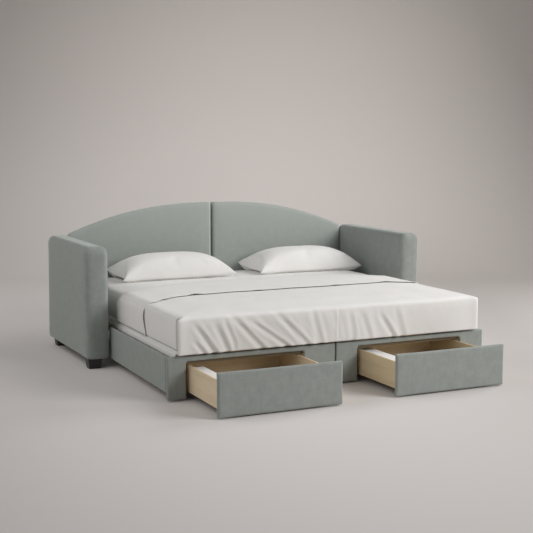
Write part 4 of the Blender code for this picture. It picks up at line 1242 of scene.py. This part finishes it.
class SOFA_OT_stage(bpy.types.Operator):
    """Makes the floor, the backdrop, the lamps and the camera"""

    bl_idname = "sofa.stage"
    bl_label = "Stage"

    def execute(self, context):
        choice = context.scene.sofa_stage
        # One sheet of paper: level floor, a wide bend and an upright wall, seen along the camera's heading.
        heading = choice.camera_heading
        forward = np.array((math.sin(heading), math.cos(heading)))
        right = np.array((forward[1], -forward[0]))
        bend, wall = 2.5, 6.5  # the bend's radius and the wall's distance from the middle
        profile = [(s, 0.0) for s in (-18, -12, -8, -6, -5, *np.linspace(-4, wall - bend, 33))]
        arc = np.linspace(0, math.pi / 2, 25)[1:]
        profile += [(wall - bend + bend * math.sin(a), bend * (1 - math.cos(a))) for a in arc]
        profile += [(wall, bend + h) for h in (0.2, 0.4, 0.7, 1.0, 2.0, 4.5)]
        widths = np.array((-18, -12, -8, -6, *np.linspace(-4, 4, 41), 6, 8, 12, 18))
        points = [(*(forward * s + right * w), z) for s, z in profile for w in widths]
        paper = mesh_object("studio_paper", points, net_of(len(profile), len(widths)))
        smooth(paper)
        # The paper's tone holds painted shade: it is a little darker towards its sides and its top.
        s, z = np.repeat(np.array(profile), len(widths), axis=0).T
        w = np.tile(widths, len(profile))
        share = eased(s + z, 1.0, 5.5)
        near, high = (np.clip(s + z, -3.2, 9.6) + 1.5) / 2, (np.clip(s + z, -3.2, 9.6) - 7) / 2
        low_w, high_w = np.clip(w, -1.7, 1.7), np.clip(w, -3.3, 3.3)
        floor = -0.346 - 0.032 * low_w - 0.118 * low_w**2 + 0.150 * near + 0.015 * near**2 - 0.067 * low_w * near
        back = -0.069 - 0.065 * high_w - 0.034 * high_w**2 - 0.024 * high - 0.115 * high**2 + 0.028 * high_w * high
        tone = (1 - share) * floor + share * back + math.log(choice.paper_tone)
        red = np.minimum(np.exp(tone), 0.95)
        green = red * np.exp(-0.040 + 0.022 * tone - 0.020 * share)
        blue = red * np.exp(-0.057 + 0.047 * tone - 0.039 * share)
        tint = paper.data.color_attributes.new("tone", "FLOAT_COLOR", "POINT")
        tint.data.foreach_set("color", np.column_stack((red, green, blue, np.ones_like(red))).ravel())
        mat, tree, shader, place = blank_material("studio paper", Roughness=0.9, Specular_IOR_Level=0.1)
        painted = node(tree, "ShaderNodeAttribute", attribute_name="tone").outputs["Color"]
        tree.links.new(painted, shader.inputs["Base Color"])
        bumped(tree, shader, (speckle(tree, place, 0.004, 2.0), 0.05, 0.0005))
        # Seen from behind, the wall is clear, so that it hides nothing in a view from the back.
        behind = node(tree, "ShaderNodeNewGeometry").outputs["Backfacing"]
        through = node(tree, "ShaderNodeBsdfTransparent").outputs["BSDF"]
        clear = node(tree, "ShaderNodeMixShader", {0: behind, 1: shader.outputs["BSDF"], 2: through})
        tree.links.new(clear.outputs["Shader"], tree.nodes["Material Output"].inputs["Surface"])
        paper.data.materials.append(mat)

        world = bpy.data.worlds.new("studio")
        context.scene.world = world
        world.use_nodes = True
        tree = world.node_tree
        light = tree.nodes["Background"]
        light.inputs["Color"].default_value = (*WARM_WHITE, 1)
        light.inputs["Strength"].default_value = choice.fill
        seen = node(tree, "ShaderNodeBackground", {"Color": (0.40, 0.375, 0.355, 1), "Strength": 1.0})
        ray = node(tree, "ShaderNodeLightPath")
        any_ray = ray.outputs["Is Camera Ray"]
        for kind in ("Is Glossy Ray", "Is Transmission Ray"):
            any_ray = node(tree, "ShaderNodeMath", {0: any_ray, 1: ray.outputs[kind]}, operation="MAXIMUM").outputs[0]
        mix = {0: any_ray, 1: light.outputs["Background"], 2: seen.outputs["Background"]}
        both = node(tree, "ShaderNodeMixShader", mix)
        tree.links.new(both.outputs["Shader"], tree.nodes["World Output"].inputs["Surface"])

        def lamp(name, power, place, aim, size):
            data = bpy.data.lights.new(name, "AREA")
            data.energy, data.shape = power, "RECTANGLE"
            data.size, data.size_y = size
            data.color = WARM_WHITE
            obj = bpy.data.objects.new(name, data)
            context.scene.collection.objects.link(obj)
            obj.location = place
            obj.rotation_euler = (Vector(aim) - Vector(place)).to_track_quat("-Z", "Y").to_euler()

        lamp("front right softbox", choice.key, (3.6, -4.6, 3.2), (0.1, -0.2, 0.3), (3.4, 2.8))
        lamp("right softbox", choice.right, (5.0, 0.0, 3.0), (1.0, 0, 0.4), (2.5, 2.5))
        lamp("left softbox", choice.left, (-5.0, -0.8, 2.6), (-1.0, 0, 0.4), (5.6, 2.5))
        lamp("high left softbox", choice.left_high, (-3.6, 0.6, 4.2), (-0.6, 0, 0.4), (4.6, 2.5))

        data = bpy.data.cameras.new("camera")
        data.lens, data.sensor_width = choice.camera_lens, 36
        camera = bpy.data.objects.new("camera", data)
        context.scene.collection.objects.link(camera)
        camera.location = choice.camera_place
        camera.rotation_euler = (math.pi / 2 - choice.camera_pitch, 0, -choice.camera_heading)
        context.scene.camera = camera
        context.scene.view_settings.view_transform = "Standard"
        return {"FINISHED"}


# ---------------------------------------------------------------- panel and registration

OPERATORS = (
    SOFA_OT_arms,
    SOFA_OT_backs,
    SOFA_OT_base_panels,
    SOFA_OT_drawer_fronts,
    SOFA_OT_mattress,
    SOFA_OT_fitted_skirt,
    SOFA_OT_duvet,
    SOFA_OT_top_sheet,
    SOFA_OT_pillows,
    SOFA_OT_drawer_linen,
    SOFA_OT_hard_pieces,
    SOFA_OT_stage,
)
SETTINGS = (
    ("sofa_upholstery", UpholsterySettings), ("sofa_bedding", BeddingSettings), ("sofa_wood", WoodSettings),
    ("sofa_stage", StageSettings)
)


class SOFA_PT_panel(bpy.types.Panel):
    """Lists the pieces of the sofa bed"""

    bl_idname = "SOFA_PT_panel"
    bl_label = "Sofa bed"
    bl_space_type = "VIEW_3D"
    bl_region_type = "UI"
    bl_category = "Sofa bed"

    def draw(self, context):
        for key, group in SETTINGS:
            box = self.layout.box()
            for name in group.__annotations__:
                box.prop(getattr(context.scene, key), name)
        for operator in OPERATORS:
            self.layout.operator(operator.bl_idname)


def register():
    for key, group in SETTINGS:
        bpy.utils.register_class(group)
        setattr(bpy.types.Scene, key, bpy.props.PointerProperty(type=group))
    for cls in (*OPERATORS, SOFA_PT_panel):
        bpy.utils.register_class(cls)


def unregister():
    for cls in (SOFA_PT_panel, *reversed(OPERATORS)):
        bpy.utils.unregister_class(cls)
    for key, group in reversed(SETTINGS):
        delattr(bpy.types.Scene, key)
        bpy.utils.unregister_class(group)


def main():
    register()
    for operator in OPERATORS:
        family, name = operator.bl_idname.split(".")
        getattr(getattr(bpy.ops, family), name)()


if __name__ == "__main__":
    main()
